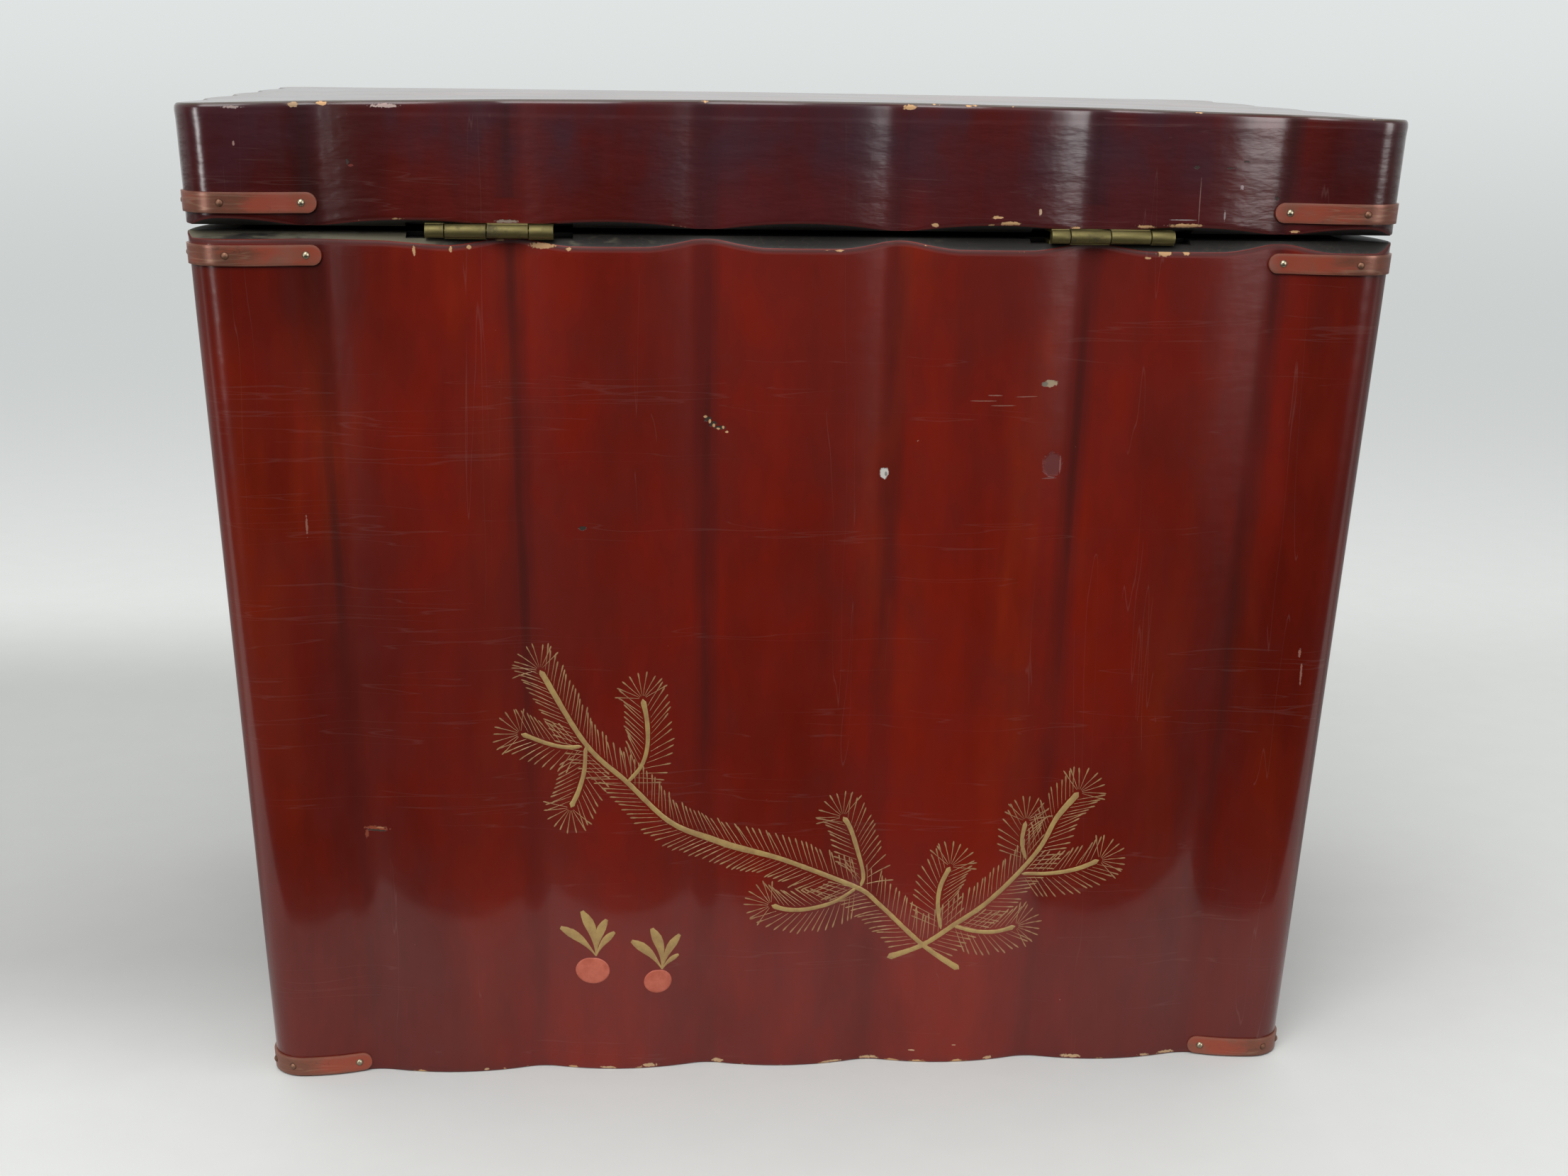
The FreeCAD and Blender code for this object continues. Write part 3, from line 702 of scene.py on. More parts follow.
LID_SCUFFS = scuffs(
    (WOOD, ((114.8, 252.4, 1.6, 0.5), (-25.0, 253.4, 1.6, 0.6), (-32.0, 225.4, 0.9, 0.5), (-47.0, 227.6, 1.3, 0.4),
            (-50.0, 226.1, 2.8, 0.5), (-45.5, 225.6, 0.8, 0.4), (-67.0, 225.0, 1.2, 0.4), (-84.0, 225.6, 2.4, 0.4),
            (-93.5, 226.0, 4.6, 0.55), (-122.0, 224.6, 1.2, 0.4))),
    (BRUISE, ((109.1, 239.1, 0.4, 0.7, 1.2), (-117.0, 232.6, 0.5, 0.5, 1.0), (-104.0, 240.0, 1.4, 0.22, 1.4),
              (-108.0, 241.6, 0.9, 0.2, 1.2), (-95.5, 240.2, 0.7, 0.4, 1.4))),
    ((0.42, 0.27, 0.15), ((121.6, 252.0, 1.2, 0.7),)),
    ((0.52, 0.38, 0.34), ((100.0, 252.2, 3.6, 0.5, 1.2),)),
    ((0.40, 0.30, 0.28), ((135.5, 251.4, 2.2, 0.35, 1.2),)),
    ((0.62, 0.42, 0.27), ((-57.6, 228.9, 0.45, 0.8),)),
    ((0.34, 0.27, 0.26), ((-93.0, 227.4, 3.6, 0.15, 0.4),)),
    ((0.25, 0.19, 0.15), ((72.0, 225.2, 3.0, 0.4),)),
    ((0.36, 0.20, 0.18), ((135.3, 243.0, 0.3, 0.6),)),
    ((0.17, 0.02, 0.012), ((108.3, 238.2, 0.7, 0.3),)),
    # Painted highlight: a soft pinkish-white spot where a small bump on the lid catches the light.
    ((0.42, 0.31, 0.32), ((-107.3, 235.3, 0.55, 0.65, 1.4),)),
    ((0.24, 0.12, 0.10), ((-96.8, 231.8, 0.13, 6.2, 0.4),)),
    ((0.36, 0.28, 0.27), ((-103.4, 228.6, 0.25, 1.3, 0.8),)),
)


@dataclass(frozen=True)
class Coating:
    """A finish that can be made as a material."""

    name: str

    def build(self) -> Material:
        """Makes the material."""
        material = bpy.data.materials.new(self.name)
        material.use_nodes = True
        material.node_tree.nodes.clear()
        bench = Bench(material.node_tree)
        self.mix(bench, bench.add("TexCoord", output="Object"))
        return material

    def mix(self, bench: Bench, place: Wire) -> None:
        """Adds the finish's nodes; the place is in metres."""
        raise NotImplementedError


@dataclass(frozen=True)
class Lacquer(Coating):
    """Transparent red-brown lacquer, darker in the valleys, partly where the lacquer collected thickly and partly as
    painted shade.
    """

    crest: Colour
    valley: Colour
    crease: Colour
    glow: Colour
    haze_and_sheen: Colour
    haze_and_sheen_share: float
    haze_and_sheen_heights: Flat
    edge_highlight_and_shade: Colour
    scuffs: Sequence[Scuff]
    coat_roughness: float
    ripple: float
    gloss: Flat
    flare: float = 0.377
    base_share: float = 0.905
    edge_dark: Colour = (0.045, 0.026, 0.016)
    pale: Colour = (0.42, 0.27, 0.24)
    speck: Colour = (0.42, 0.24, 0.18)
    top_heights: Flat = (0.2495, 0.2510)
    gloss_heights: Flat = (0.232, 0.2515)

    def ground(self, bench: Bench, place: Wire, dip: Wire, clouds: Wire) -> Wire:
        """Colour of the clean coat.

        Args:
            bench: the material's nodes.
            place: the place in metres.
            dip: 0 on a crest to 1 in a valley.
            clouds: the coat's long clouds.

        Returns:
            The colour: valleys darker from thick lacquer and painted shade, brighter streaks, painted shade that
                darkens the lower body, its lower sides and the corners, a pale haze that is partly the coat's bloom
                and partly painted sheen, and thin creases of painted shade.
        """
        x, _, height = place.axes()
        pool_and_shade = height.band(0.045, 0.15, 0.25)
        # Valleys: partly lacquer that collected there, partly painted shade of the hollows with a greyish painted
        # reflection.
        colour = bench.blend(dip.band(0.84, 1.0) * pool_and_shade, self.crest, self.valley)
        streaks = place.stretched(1, 1, 0.16, (0.7, 0.2, 0.0)).noise(42.0, 3.0, 0.6)
        colour = bench.blend(streaks.band(0.50, 0.72) * height.band(0.03, 0.13, 0.15, 0.5), colour, self.glow)
        # Painted shade: darker towards the sides low down, towards the +x corner high up and along each corner.
        across = x / (height * self.flare + self.base_share)
        apart = across.math("ABSOLUTE")
        low = apart.band(0.055, 0.128, 0.0, 0.30) * height.band(0.195, 0.125)
        high = across.band(0.092, 0.122, 0.0, 0.45) * height.band(0.160, 0.212)
        dark = low.most(high).most(apart.band(0.124, 0.131, 0.0, 0.30))
        # Clouds of tone times painted shade: darker towards the bottom as if less light reached it, and at the sides
        # and corners.
        shade = clouds.band(0.33, 0.67, 0.72, 1.18) * height.band(0.03, 0.20, 0.90, 1.10) * (1.0 - dark)
        colour = bench.blend(1.0, colour, shade, "MULTIPLY")
        # Pale purple-grey haze: partly the coat's own cloudy bloom, partly a painted sheen of the room's reflection,
        # strongest where its heights say.
        haze_and_sheen = clouding(place.stretched(1, 1, 0.7, (3.1, 0.4, 1.7)), size=16.0).band(0.38, 0.62)
        haze_and_sheen *= height.band(*self.haze_and_sheen_heights, 0.4 * self.haze_and_sheen_share, self.haze_and_sheen_share)
        colour = bench.blend(haze_and_sheen, colour, self.haze_and_sheen)
        # Thin dark lines of painted shade down the deepest part of each valley.
        thin = place.stretched(1, 1, 0.1).noise(120.0).band(0.35, 0.65, 0.0, 0.55)
        return bench.blend(dip.band(0.975, 1.0) * thin * pool_and_shade, colour, self.crease)

    def mix(self, bench: Bench, place: Wire) -> None:
        """Adds the coat, painted light on the rounded rim edges (a highlight on the lid, shade on the body), its worn
        edges, scratches and scuffs, and its gloss.
        """
        dip, edge, tint = (bench.attribute(name) for name in ("dip", "edge", "tint"))
        height = place.axes()[2]
        clouds = clouding(place.stretched(1, 1, 0.3), size=26.0)
        colour = self.ground(bench, place, dip, clouds)
        # Rounded rim edges: on the lid a brighter red painted highlight, on the body a darker red of painted shade.
        colour = bench.blend(tint.band(0.3, 1.0), colour, self.edge_highlight_and_shade)
        colour = bench.blend(tint.band(-0.2, -1.0), colour, self.edge_dark)
        lines = scratches(place.stretched(1, 1, 0.03), width=0.006, share=0.36)
        wipes = scratches(place.stretched(0.05, 0.05, 1), size=500.0, width=0.02, share=0.45)
        rubbed = lines * height.band(*self.top_heights, 0.08, 0.0) + wipes * 0.05
        colour = bench.blend(rubbed, colour, self.pale)
        colour = bench.blend(chips(place, edge=1.0, size=520.0, amount=0.235), colour, self.speck)
        bare = chips(place, edge=edge, size=190.0, amount=0.40)
        colour = bench.blend(bare, colour, WOOD)
        for scuff in self.scuffs:
            mask = scuff_mask(place, centre=(scuff.x * MM, 0.098, scuff.z * MM), ragged=scuff.ragged,
                              half_size=(scuff.half_width * MM, 0.02, scuff.half_height * MM))
            colour = bench.blend(mask, colour, scuff.colour)
            bare = bare.most(mask)
        planed = place.stretched(1, 1, 0.5).noise(75.0, 3.0, 0.55)
        ripple = place.stretched(0.35, 0.35, 1).noise(300.0, 3.0, 0.55)
        relief = planed + ripple * height.band(*self.top_heights, self.ripple, 0.08) - bare * 0.35
        edges = tint.band(0.05, 0.5, 0.0, 0.97).most(tint.band(-0.65, -0.95, 0.0, 0.3))
        dulled = (bare + rubbed).clamped().most(edges)
        bench.shader(Base_Color=colour, Specular_IOR_Level=0.3,
                     Roughness=(clouds.band(0.3, 0.7, 0.27, 0.20) + bare.most(edges) * 0.35).clamped(),
                     Coat_Weight=(1.0 - dulled).clamped() * height.band(*self.gloss_heights, *self.gloss),
                     Coat_IOR=1.38, Coat_Roughness=self.coat_roughness, Normal=relief.bump(0.00022))


@dataclass(frozen=True)
class WornBlack(Coating):
    """Black-brown lacquer of rims and insides, smeared, rubbed and at one end dusty."""

    smear_share: float
    smear: Colour = (0.125, 0.112, 0.076)
    base: Colour = (0.026, 0.023, 0.021)
    pale_from: float = 10.0

    def mix(self, bench: Bench, place: Wire) -> None:
        """Adds smears, dust at the end of the rear rim, and fine scratches."""
        x, y, _ = place.axes()
        low = 0.72 - 0.25 * self.smear_share
        dusty = x.band(self.pale_from, self.pale_from + 0.012, 0.0, 0.24) * y.band(0.060, 0.085)
        rubbed = (clouding(place.stretched(0.5, 1, 1), size=70.0) + dusty).band(low, low + 0.16)
        colour = bench.blend(rubbed, self.base, self.smear)
        colour = bench.blend(scratches(place, size=420.0, width=0.02) * 0.2, colour, self.smear)
        bench.shader(Base_Color=colour, Roughness=(rubbed * 0.25 + 0.5).clamped(), Specular_IOR_Level=0.35,
                     Normal=place.noise(700.0, 3.0, 0.6).bump(0.00008))


@dataclass(frozen=True)
class StrapPaint(Coating):
    """Terracotta paint on thin sheet metal, worn to brown metal at the corners."""

    paint: Colour = (0.290, 0.052, 0.024)
    faded: Colour = (0.22, 0.070, 0.040)
    worn: Colour = (0.185, 0.070, 0.042)
    pale: Colour = (0.36, 0.23, 0.15)
    nick: Colour = (0.05, 0.028, 0.02)
    rubbed: Colour = (0.215, 0.085, 0.055)

    def mix(self, bench: Bench, place: Wire) -> None:
        """Adds the paint; the mesh's run mark is 0 at the corner and 1 at a round end."""
        run, side = bench.attribute("run"), bench.attribute("side")
        worn = (run.band(0.15, 0.60, 0.36, 0.0) + clouding(place.stretched(1, 1, 3), size=90.0)).band(0.58, 0.95)
        tone = place.noise(160.0, 3.0)
        colour = bench.blend(tone.band(0.45, 0.7), self.paint, self.faded)
        colour = bench.blend(worn, colour, self.worn)
        lines = scratches(place.stretched(0.06, 0.06, 1), size=1100.0, width=0.05, share=0.55)
        colour = bench.blend(lines * run.band(0.3, 0.6, 0.34, 0.05), colour, self.pale)
        nicks = scratches(place.stretched(0.3, 0.3, 1), size=700.0, width=0.02, share=0.4)
        colour = bench.blend(nicks * 0.4, colour, self.nick)
        colour = bench.blend(side.band(0.62, 1.0, 0.0, 0.6), colour, self.rubbed)
        bench.shader(Base_Color=colour, Roughness=worn.band(0.0, 1.0, 0.42, 0.36), Metallic=worn * 0.35,
                     Specular_IOR_Level=0.45, Normal=(tone * 0.6 - worn * 0.3).bump(0.00010))


@dataclass(frozen=True)
class AgedBrass(Coating):
    """Dull brass with brown tarnish in patches."""

    bright: Colour = (0.150, 0.126, 0.052)
    tarnish: Colour = (0.062, 0.050, 0.022)
    tarnish_share: float = 0.5
    roughness: float = 0.55

    def mix(self, bench: Bench, place: Wire) -> None:
        """Adds bright and tarnished patches and fine scratches."""
        low = 0.66 - 0.3 * self.tarnish_share
        dull = clouding(place, size=180.0).band(low, low + 0.2)
        lines = scratches(place.stretched(0.2, 1, 1), size=1200.0, width=0.05)
        bench.shader(Base_Color=bench.blend(dull, self.bright, self.tarnish),
                     Roughness=(dull.band(0.0, 1.0, self.roughness, 0.62) + lines * 0.1).clamped(),
                     Metallic=dull.band(0.0, 1.0, 1.0, 0.7), Normal=place.noise(1400.0, 3.0, 0.6).bump(0.00004))


@dataclass(frozen=True)
class BrushPaint(Coating):
    """Matt metallic-looking brush paint with an uneven load."""

    colour: Colour
    thin: Colour
    metallic: float

    def mix(self, bench: Bench, place: Wire) -> None:
        """Adds thick and thin paint."""
        load = clouding(place, size=260.0)
        bench.shader(Base_Color=bench.blend(load.band(0.35, 0.65), self.thin, self.colour),
                     Roughness=load.band(0.3, 0.7, 0.55, 0.42), Metallic=self.metallic,
                     Specular_IOR_Level=0.4, Normal=load.bump(0.00005))


@dataclass(frozen=True)
class SatinLacquer(Coating):
    """Satin lacquer on planed boards, with a faint grain."""

    base: Colour
    dark: Colour
    pale: Colour = (0.4, 0.25, 0.16)

    def mix(self, bench: Bench, place: Wire) -> None:
        """Adds grain, clouds and scratches."""
        grain = place.stretched(6, 6, 60).noise(6.0, 5.0, 0.6)
        clouds = clouding(place, size=24.0)
        colour = bench.blend((grain * 0.6 + clouds * 0.4).band(0.35, 0.65), self.dark, self.base)
        lines = scratches(place.stretched(0.15, 1, 1), width=0.012, share=0.4)
        bench.shader(Base_Color=bench.blend(lines * 0.15, colour, self.pale),
                     Roughness=clouds.band(0.3, 0.7, 0.34, 0.48), Specular_IOR_Level=0.4,
                     Normal=grain.bump(0.00012))


class Palette:
    """All the finishes of the box, each made once."""

    def __init__(self) -> None:
        """Makes the materials."""
        self.body = Lacquer(
            "body_lacquer", crest=(0.190, 0.0115, 0.0042), valley=(0.130, 0.0120, 0.0080),
            crease=(0.050, 0.012, 0.010), glow=(0.280, 0.028, 0.005), haze_and_sheen=(0.118, 0.0175, 0.0145), haze_and_sheen_share=0.45,
            haze_and_sheen_heights=(0.0, 0.001), edge_highlight_and_shade=(0.075, 0.012, 0.009), scuffs=BODY_SCUFFS, coat_roughness=0.06,
            ripple=0.25, gloss=(0.6, 0.6)).build()
        self.lid = Lacquer(
            "lid_lacquer", crest=(0.092, 0.0085, 0.006), valley=(0.066, 0.011, 0.010), crease=(0.036, 0.012, 0.012),
            glow=(0.13, 0.011, 0.006), haze_and_sheen=(0.054, 0.020, 0.028), haze_and_sheen_share=0.95, haze_and_sheen_heights=(0.228, 0.246),
            edge_highlight_and_shade=(0.16, 0.016, 0.010), scuffs=LID_SCUFFS, coat_roughness=0.19, ripple=1.0,
            gloss=(0.25, 0.62)).build()
        self.rim = WornBlack("rim_lacquer", 0.5, pale_from=0.080).build()
        self.lid_rim = WornBlack("lid_rim_lacquer", 0.25).build()
        self.inside = WornBlack("inside_lacquer", 0.3, smear=(0.05, 0.035, 0.025)).build()
        self.tray = SatinLacquer("tray_lacquer", (0.10, 0.018, 0.012), (0.045, 0.010, 0.008)).build()
        self.strap = StrapPaint("strap_paint").build()
        self.brass = AgedBrass("aged_brass").build()
        self.nail = AgedBrass("nail_brass", (0.34, 0.30, 0.21), (0.13, 0.08, 0.05), 0.4, 0.36).build()
        self.painted_nail = AgedBrass("painted_nail", (0.22, 0.115, 0.075), (0.13, 0.05, 0.03), 0.6).build()
        self.gold = BrushPaint("gold_paint", (0.45, 0.305, 0.107), (0.34, 0.205, 0.077), 0.1).build()
        self.needle = BrushPaint("needle_paint", (0.39, 0.24, 0.103), (0.29, 0.15, 0.066), 0.1).build()
        self.salmon = BrushPaint("salmon_paint", (0.53, 0.13, 0.080), (0.42, 0.085, 0.045), 0.0).build()


def finish_piece(obj: Object, carrier: Carrier, replaced: Sequence[str] = ()) -> Object:
    """Hands a finished piece to the frame.

    Args:
        obj: the piece.
        carrier: the body it rides on.
        replaced: names of the nodes it stands for.

    Returns:
        The piece.
    """
    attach(obj, carrier.value)
    if replaced:
        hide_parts(*replaced)
    log.info("%s: %d faces, rides %s", obj.name, len(obj.data.polygons), carrier.value)
    return obj


# Body and lid shells

# Falls and insets along a rounded edge, as shares of its radius
ROUND: tuple[Flat, ...] = ((1.0, 0.0), (0.55, 0.09), (0.22, 0.32), (0.05, 0.65), (0.0, 1.0))


@dataclass
class RimSizes:
    """Sizes that both rims and both hinges share."""

    body_height: float = 222.0
    rear_gap: float = 1.8
    axis_reach: float = 2.0
    leaf_reach: float = 7.0
    mortise_width: float = 40.0
    mortise_depth: float = 1.0
    groove_radius: float = 1.95
    hinge_spacing: float = 152.0
    overrun: float = 5.0

    @property
    def lid_rim(self) -> float:
        """Height of the lid's rim before the lid closes."""
        return self.body_height + self.rear_gap

    @property
    def hinge_height(self) -> float:
        """Height of the hinge axis."""
        return self.body_height + self.rear_gap / 2


@dataclass
class Shell:
    """Fluted shell of one continuous coat, with a bevelled rear rim."""

    outline: Outline
    rims: RimSizes
    edge_radius: float = 0.45
    inner_round: float = 0.35
    support: float = 0.8
    bevel_angle: float = 38.0
    line_inset: float = 0.0
    worn_inset: float = 0.0
    deepest_edge: float = 9.0
    worn_deepest: float = 9.0
    worn_from: float = 88.0
    worn_over: float = 14.0

    def rear_line(self, height: float) -> float:
        """Line of the rear valleys at a height."""
        return self.outline.scale_at(height) * (self.outline.depth / 2 - self.outline.flute_rise)

    @property
    def hinge_line(self) -> float:
        """Place of the hinge axis behind the rear wall."""
        return self.rear_line(self.rims.body_height) + self.rims.axis_reach

    def inner_point(self, station: Station, height: float, grow: float = 0.0) -> list[float]:
        """Point of the straight inner wall that belongs to a column."""
        half, reach, _ = self.outline.halves(station.side)
        corner = half - self.outline.corner_radius * (1 - math.sqrt(0.5))
        along = station.along + station.radius * math.sin(station.angle)
        across = along / corner * (self.outline.inner_half(half, height) + grow)
        out = self.outline.inner_half(reach, height) + grow
        return [*turned(station.side, across, out), height]

    def rim_rows(self, station: Station, rim: float, up: int) -> list[list[float]]:
        """Rows over one column's rim, from the wall's face to the inner edge.

        Args:
            station: the column.
            rim: height of the rim.
            up: 1 for the body, whose rim is its top, -1 for the lid.

        Returns:
            Support row, three rows of the rounded edge, two of the bevel, two at the inner edge.
        """
        bevel = math.radians(self.bevel_angle)
        slope = math.tan(bevel)
        x_full, y_full = station.place(1.0)
        near_corner = min(max((x_full - self.worn_from) / self.worn_over, 0.0), 1.0)
        inset, deepest = mix_points((self.line_inset, self.deepest_edge), (self.worn_inset, self.worn_deepest),
                                    near_corner)
        line = self.rear_line(rim) - inset
        size, flare = self.outline.base_share, self.outline.flare
        edge_height = rim
        inward = [-n for n in station.normal()] + [0.0]
        radius = self.edge_radius
        if self.outline.scale_at(rim) * y_full > line:
            edge_height = (rim - up * slope * (size * y_full - line)) / (1 + up * slope * flare * y_full)
            edge_height = max(edge_height, rim - deepest)
            inward = [0.0, -math.cos(bevel), up * math.sin(bevel)]
        edge = self.outline.wall_point(station, edge_height)
        shelf = step_towards(edge, inward, 1.0)
        if edge_height != rim:
            shelf = [edge[0], line, rim]
            radius = min(radius, 0.35 * math.dist(edge, shelf))
        along_wall = [v * up for v in (*station.place(flare), 1.0)]
        rounded = [step_towards(edge, along_wall, -radius),
                   step_towards(step_towards(edge, along_wall, -0.29 * radius), inward, 0.29 * radius),
                   step_towards(edge, inward, radius)]
        support = step_towards(edge, along_wall, -radius - self.support)
        middle = mix_points(rounded[2], shelf, 0.5)
        return [support, *rounded, middle, shelf, self.inner_point(station, rim, self.inner_round),
                self.inner_point(station, rim - up * self.inner_round)]

    def mould(self, name: str, bridge: bool, marks: Sequence[dict[int, float]], dipping: int,
              materials: Sequence[Material], finish_of: Callable[[int], int]) -> Object:
        """Models the shell from the rows of its columns.

        Args:
            name: the piece's name.
            bridge: joins the first row with the last; otherwise each is filled.
            marks: the edge marks and the tint marks by row; rows that aren't named have 0.
            dipping: the number of rows that know how deep in a valley they lie.
            materials: the shell's finishes.
            finish_of: number of the finish of the faces over a row.

        Returns:
            The closed shell.
        """
        ring = self.outline.ring()
        columns = [self.column_rows(station) for station in ring]
        rows = len(columns[0])
        tube = Tube(name, len(ring), rows)
        tube.shape([[column[row] for column in columns] for row in range(rows)])
        tube.mark("dip", lambda row, column: ring[column].dip if row < dipping else 0.0)
        for label, by_row in zip(("edge", "tint"), marks):
            tube.mark(label, lambda row, column: by_row.get(row, 0.0))
        for material in materials:
            tube.obj.data.materials.append(material)
        tube.paint_rows(finish_of)
        return tube.close(bridge)

    def hinge_cutters(self, rim: float, up: int) -> list[Object]:
        """Mortises and grooves for both hinges."""
        cutters = []
        inner = self.rear_line(self.rims.body_height) - self.rims.leaf_reach
        for sign in (-1, 1):
            centre = sign * self.rims.hinge_spacing / 2
            half = self.rims.mortise_width / 2
            seat, past = sorted((rim - up * self.rims.mortise_depth, rim + up * self.rims.overrun))
            cutters.append(block((centre - half, inner, seat), (centre + half, inner + 20.0, past)))
            cutters.append(rod_along_x((centre, self.hinge_line, self.rims.hinge_height),
                                       self.rims.groove_radius, self.rims.mortise_width))
        return cutters


@dataclass
class BodyShell(Shell):
    """The four walls of the body under one coat of lacquer."""

    line_inset: float = 1.1
    worn_inset: float = 2.9
    deepest_edge: float = 2.75
    worn_deepest: float = 1.7
    foot_radius: float = 0.7
    wall_heights: tuple[float, ...] = (2.5, 12.0, 40.0, 80.0, 120.0, 160.0, 190.0, 206.0, 214.0)
    inner_heights: tuple[float, ...] = (160.0, 80.0, 8.0)

    def column_rows(self, station: Station) -> list[list[float]]:
        """Rows of one column, from the inner foot round the outside and down the inside."""
        foot = self.foot_radius
        rim = self.rims.body_height
        rows = [self.inner_point(station, 0.0), self.outline.wall_point(station, 0.0, -foot),
                self.outline.wall_point(station, 0.29 * foot, -0.29 * foot), self.outline.wall_point(station, foot)]
        rows += [self.outline.wall_point(station, height) for height in self.wall_heights]
        rows += self.rim_rows(station, rim, 1)
        return rows + [self.inner_point(station, height) for height in self.inner_heights]

    def build(self, palette: Palette) -> Object:
        """Models the shell and dresses it; its tint marks show where the rim's rounded edge gets a darker red of
        painted shade.
        """
        first = 3 + len(self.wall_heights)
        rim_from = first + 4
        edge = {1: 1.05, 2: 1.1, 3: 0.95, first + 1: 0.3, first + 2: 0.7, first + 3: 0.9, rim_from: 0.7}
        tint = {first + 1: 0.15, first + 2: 0.8, first + 3: 1.0}
        shell = self.mould("body_shell", True, (edge, tint), 99, (palette.body, palette.rim, palette.inside),
                           lambda row: 0 if 1 <= row < rim_from else 1 if rim_from <= row < rim_from + 4 else 2)
        cut_away(shell, self.hinge_cutters(self.rims.body_height, 1), palette.inside)
        smooth(shell, 40.0)
        return finish_piece(shell, Carrier.CASE,
                            ["rear_wall", "right_wall", "front_wall", "left_wall"])


@dataclass
class LidShell(Shell):
    """The lid's walls and crowned top under one coat of lacquer."""

    bevel_angle: float = 30.0
    top: float = 252.0
    panel: float = 6.0
    rear_crown: float = 2.6
    front_crown: float = 0.4
    top_radius: float = 1.1
    seat_clearance: float = 0.1
    wall_heights: tuple[float, ...] = (231.0, 238.0, 244.0, 248.0)
    top_shares: tuple[float, ...] = (0.985, 0.95, 0.88, 0.76, 0.62, 0.46, 0.3, 0.15, 0.04)

    @property
    def tilt(self) -> float:
        """Angle by which the lid closes, in radians."""
        reach = self.hinge_line + self.outline.scale_at(self.rims.lid_rim) * self.outline.depth / 2
        return math.asin((self.rims.rear_gap - self.seat_clearance) / reach)

    def crown_height(self, x: float, y: float) -> float:
        """Height of the crowned top over a place."""
        reach = self.outline.depth / 2 + self.rims.overrun
        share = (y + reach) / (2 * reach)
        crown = self.front_crown + (self.rear_crown - self.front_crown) * share
        return self.top + crown * (1 - (x / (self.outline.width / 2)) ** 2)

    def column_rows(self, station: Station) -> list[list[float]]:
        """Rows of one column, from the ceiling inside round the rim and over the top."""
        ceiling = self.top - self.panel
        rows = [mix_points([0.0, 0.0, ceiling], self.inner_point(station, ceiling), 0.9),
                self.inner_point(station, ceiling), self.inner_point(station, ceiling - 4.0)]
        rows += reversed(self.rim_rows(station, self.rims.lid_rim, -1))
        rows += [self.outline.wall_point(station, height) for height in self.wall_heights]
        plan = station.place(1.0)
        edge_height = self.crown_height(*plan)
        edge = self.outline.wall_point(station, edge_height)
        radius = self.top_radius
        normal = station.normal()
        for fall, inset in ((radius + self.support, 0.0), *((fall * radius, inset * radius) for fall, inset in ROUND)):
            x, y = edge[0] - normal[0] * inset, edge[1] - normal[1] * inset
            rows.append([x, y, self.crown_height(x, y) - fall])
        for share in self.top_shares:
            x, y = (edge[0] - normal[0] * radius) * share, (edge[1] - normal[1] * radius) * share
            rows.append([x, y, self.crown_height(x, y)])
        return rows

    def build(self, palette: Palette) -> Object:
        """Models the lid level, closes it about the hinge axis and dresses it.

        The tint marks are 1 on the lower rim's edge, which gets a painted highlight, and -1 on the dark top edge.
        """
        rim = 7
        top = rim + 4 + len(self.wall_heights)
        edge = {rim: 0.7, rim + 1: 0.9, rim + 2: 0.7, rim + 3: 0.25,
                top + 1: 0.4, top + 2: 0.8, top + 3: 0.95, top + 4: 0.8, top + 5: 0.4}
        tint = {rim: 0.9, rim + 1: 0.8, rim + 2: 0.15, top + 2: -0.5, top + 3: -0.9, top + 4: -1.0, top + 5: -0.8}
        shell = self.mould("lid_shell", False, (edge, tint), top + 3, (palette.lid, palette.lid_rim, palette.inside),
                           lambda row: 2 if row < 3 else 1 if row < rim else 0)
        cut_away(shell, self.hinge_cutters(self.rims.lid_rim, -1), palette.inside)
        self.lower(shell)
        smooth(shell, 40.0)
        return finish_piece(shell, Carrier.LID,
                            ["lid_rear_wall", "lid_right_wall", "lid_front_wall", "lid_left_wall", "lid_top_panel"])

    def lower(self, obj: Object) -> None:
        """Turns a piece of the level lid about the hinge axis until the lid is closed."""
        axis = Vector((0, self.hinge_line, self.rims.hinge_height)) * MM
        obj.data.transform(Matrix.Translation(axis) @ Matrix.Rotation(self.tilt, 4, "X") @ Matrix.Translation(-axis))


# Corner straps and nails

@dataclass
class StrapSizes:
    """Sizes of the corner straps and their nails."""

    leg: float = 32.0
    height: float = 4.9
    thickness: float = 0.6
    bevel: float = 0.16
    from_rim: float = 2.9
    from_table: float = 0.4
    end_nail: float = 3.8
    corner_nail: float = 9.6
    head_radius: float = 0.9
    head_height: float = 0.45
    head_lift: float = 0.03


class Corner(Enum):
    """Corners of the box, each with the side before it and the side after it."""

    REAR_LEFT = (Side.LEFT, Side.REAR)
    REAR_RIGHT = (Side.REAR, Side.RIGHT)
    FRONT_RIGHT = (Side.RIGHT, Side.FRONT)
    FRONT_LEFT = (Side.FRONT, Side.LEFT)


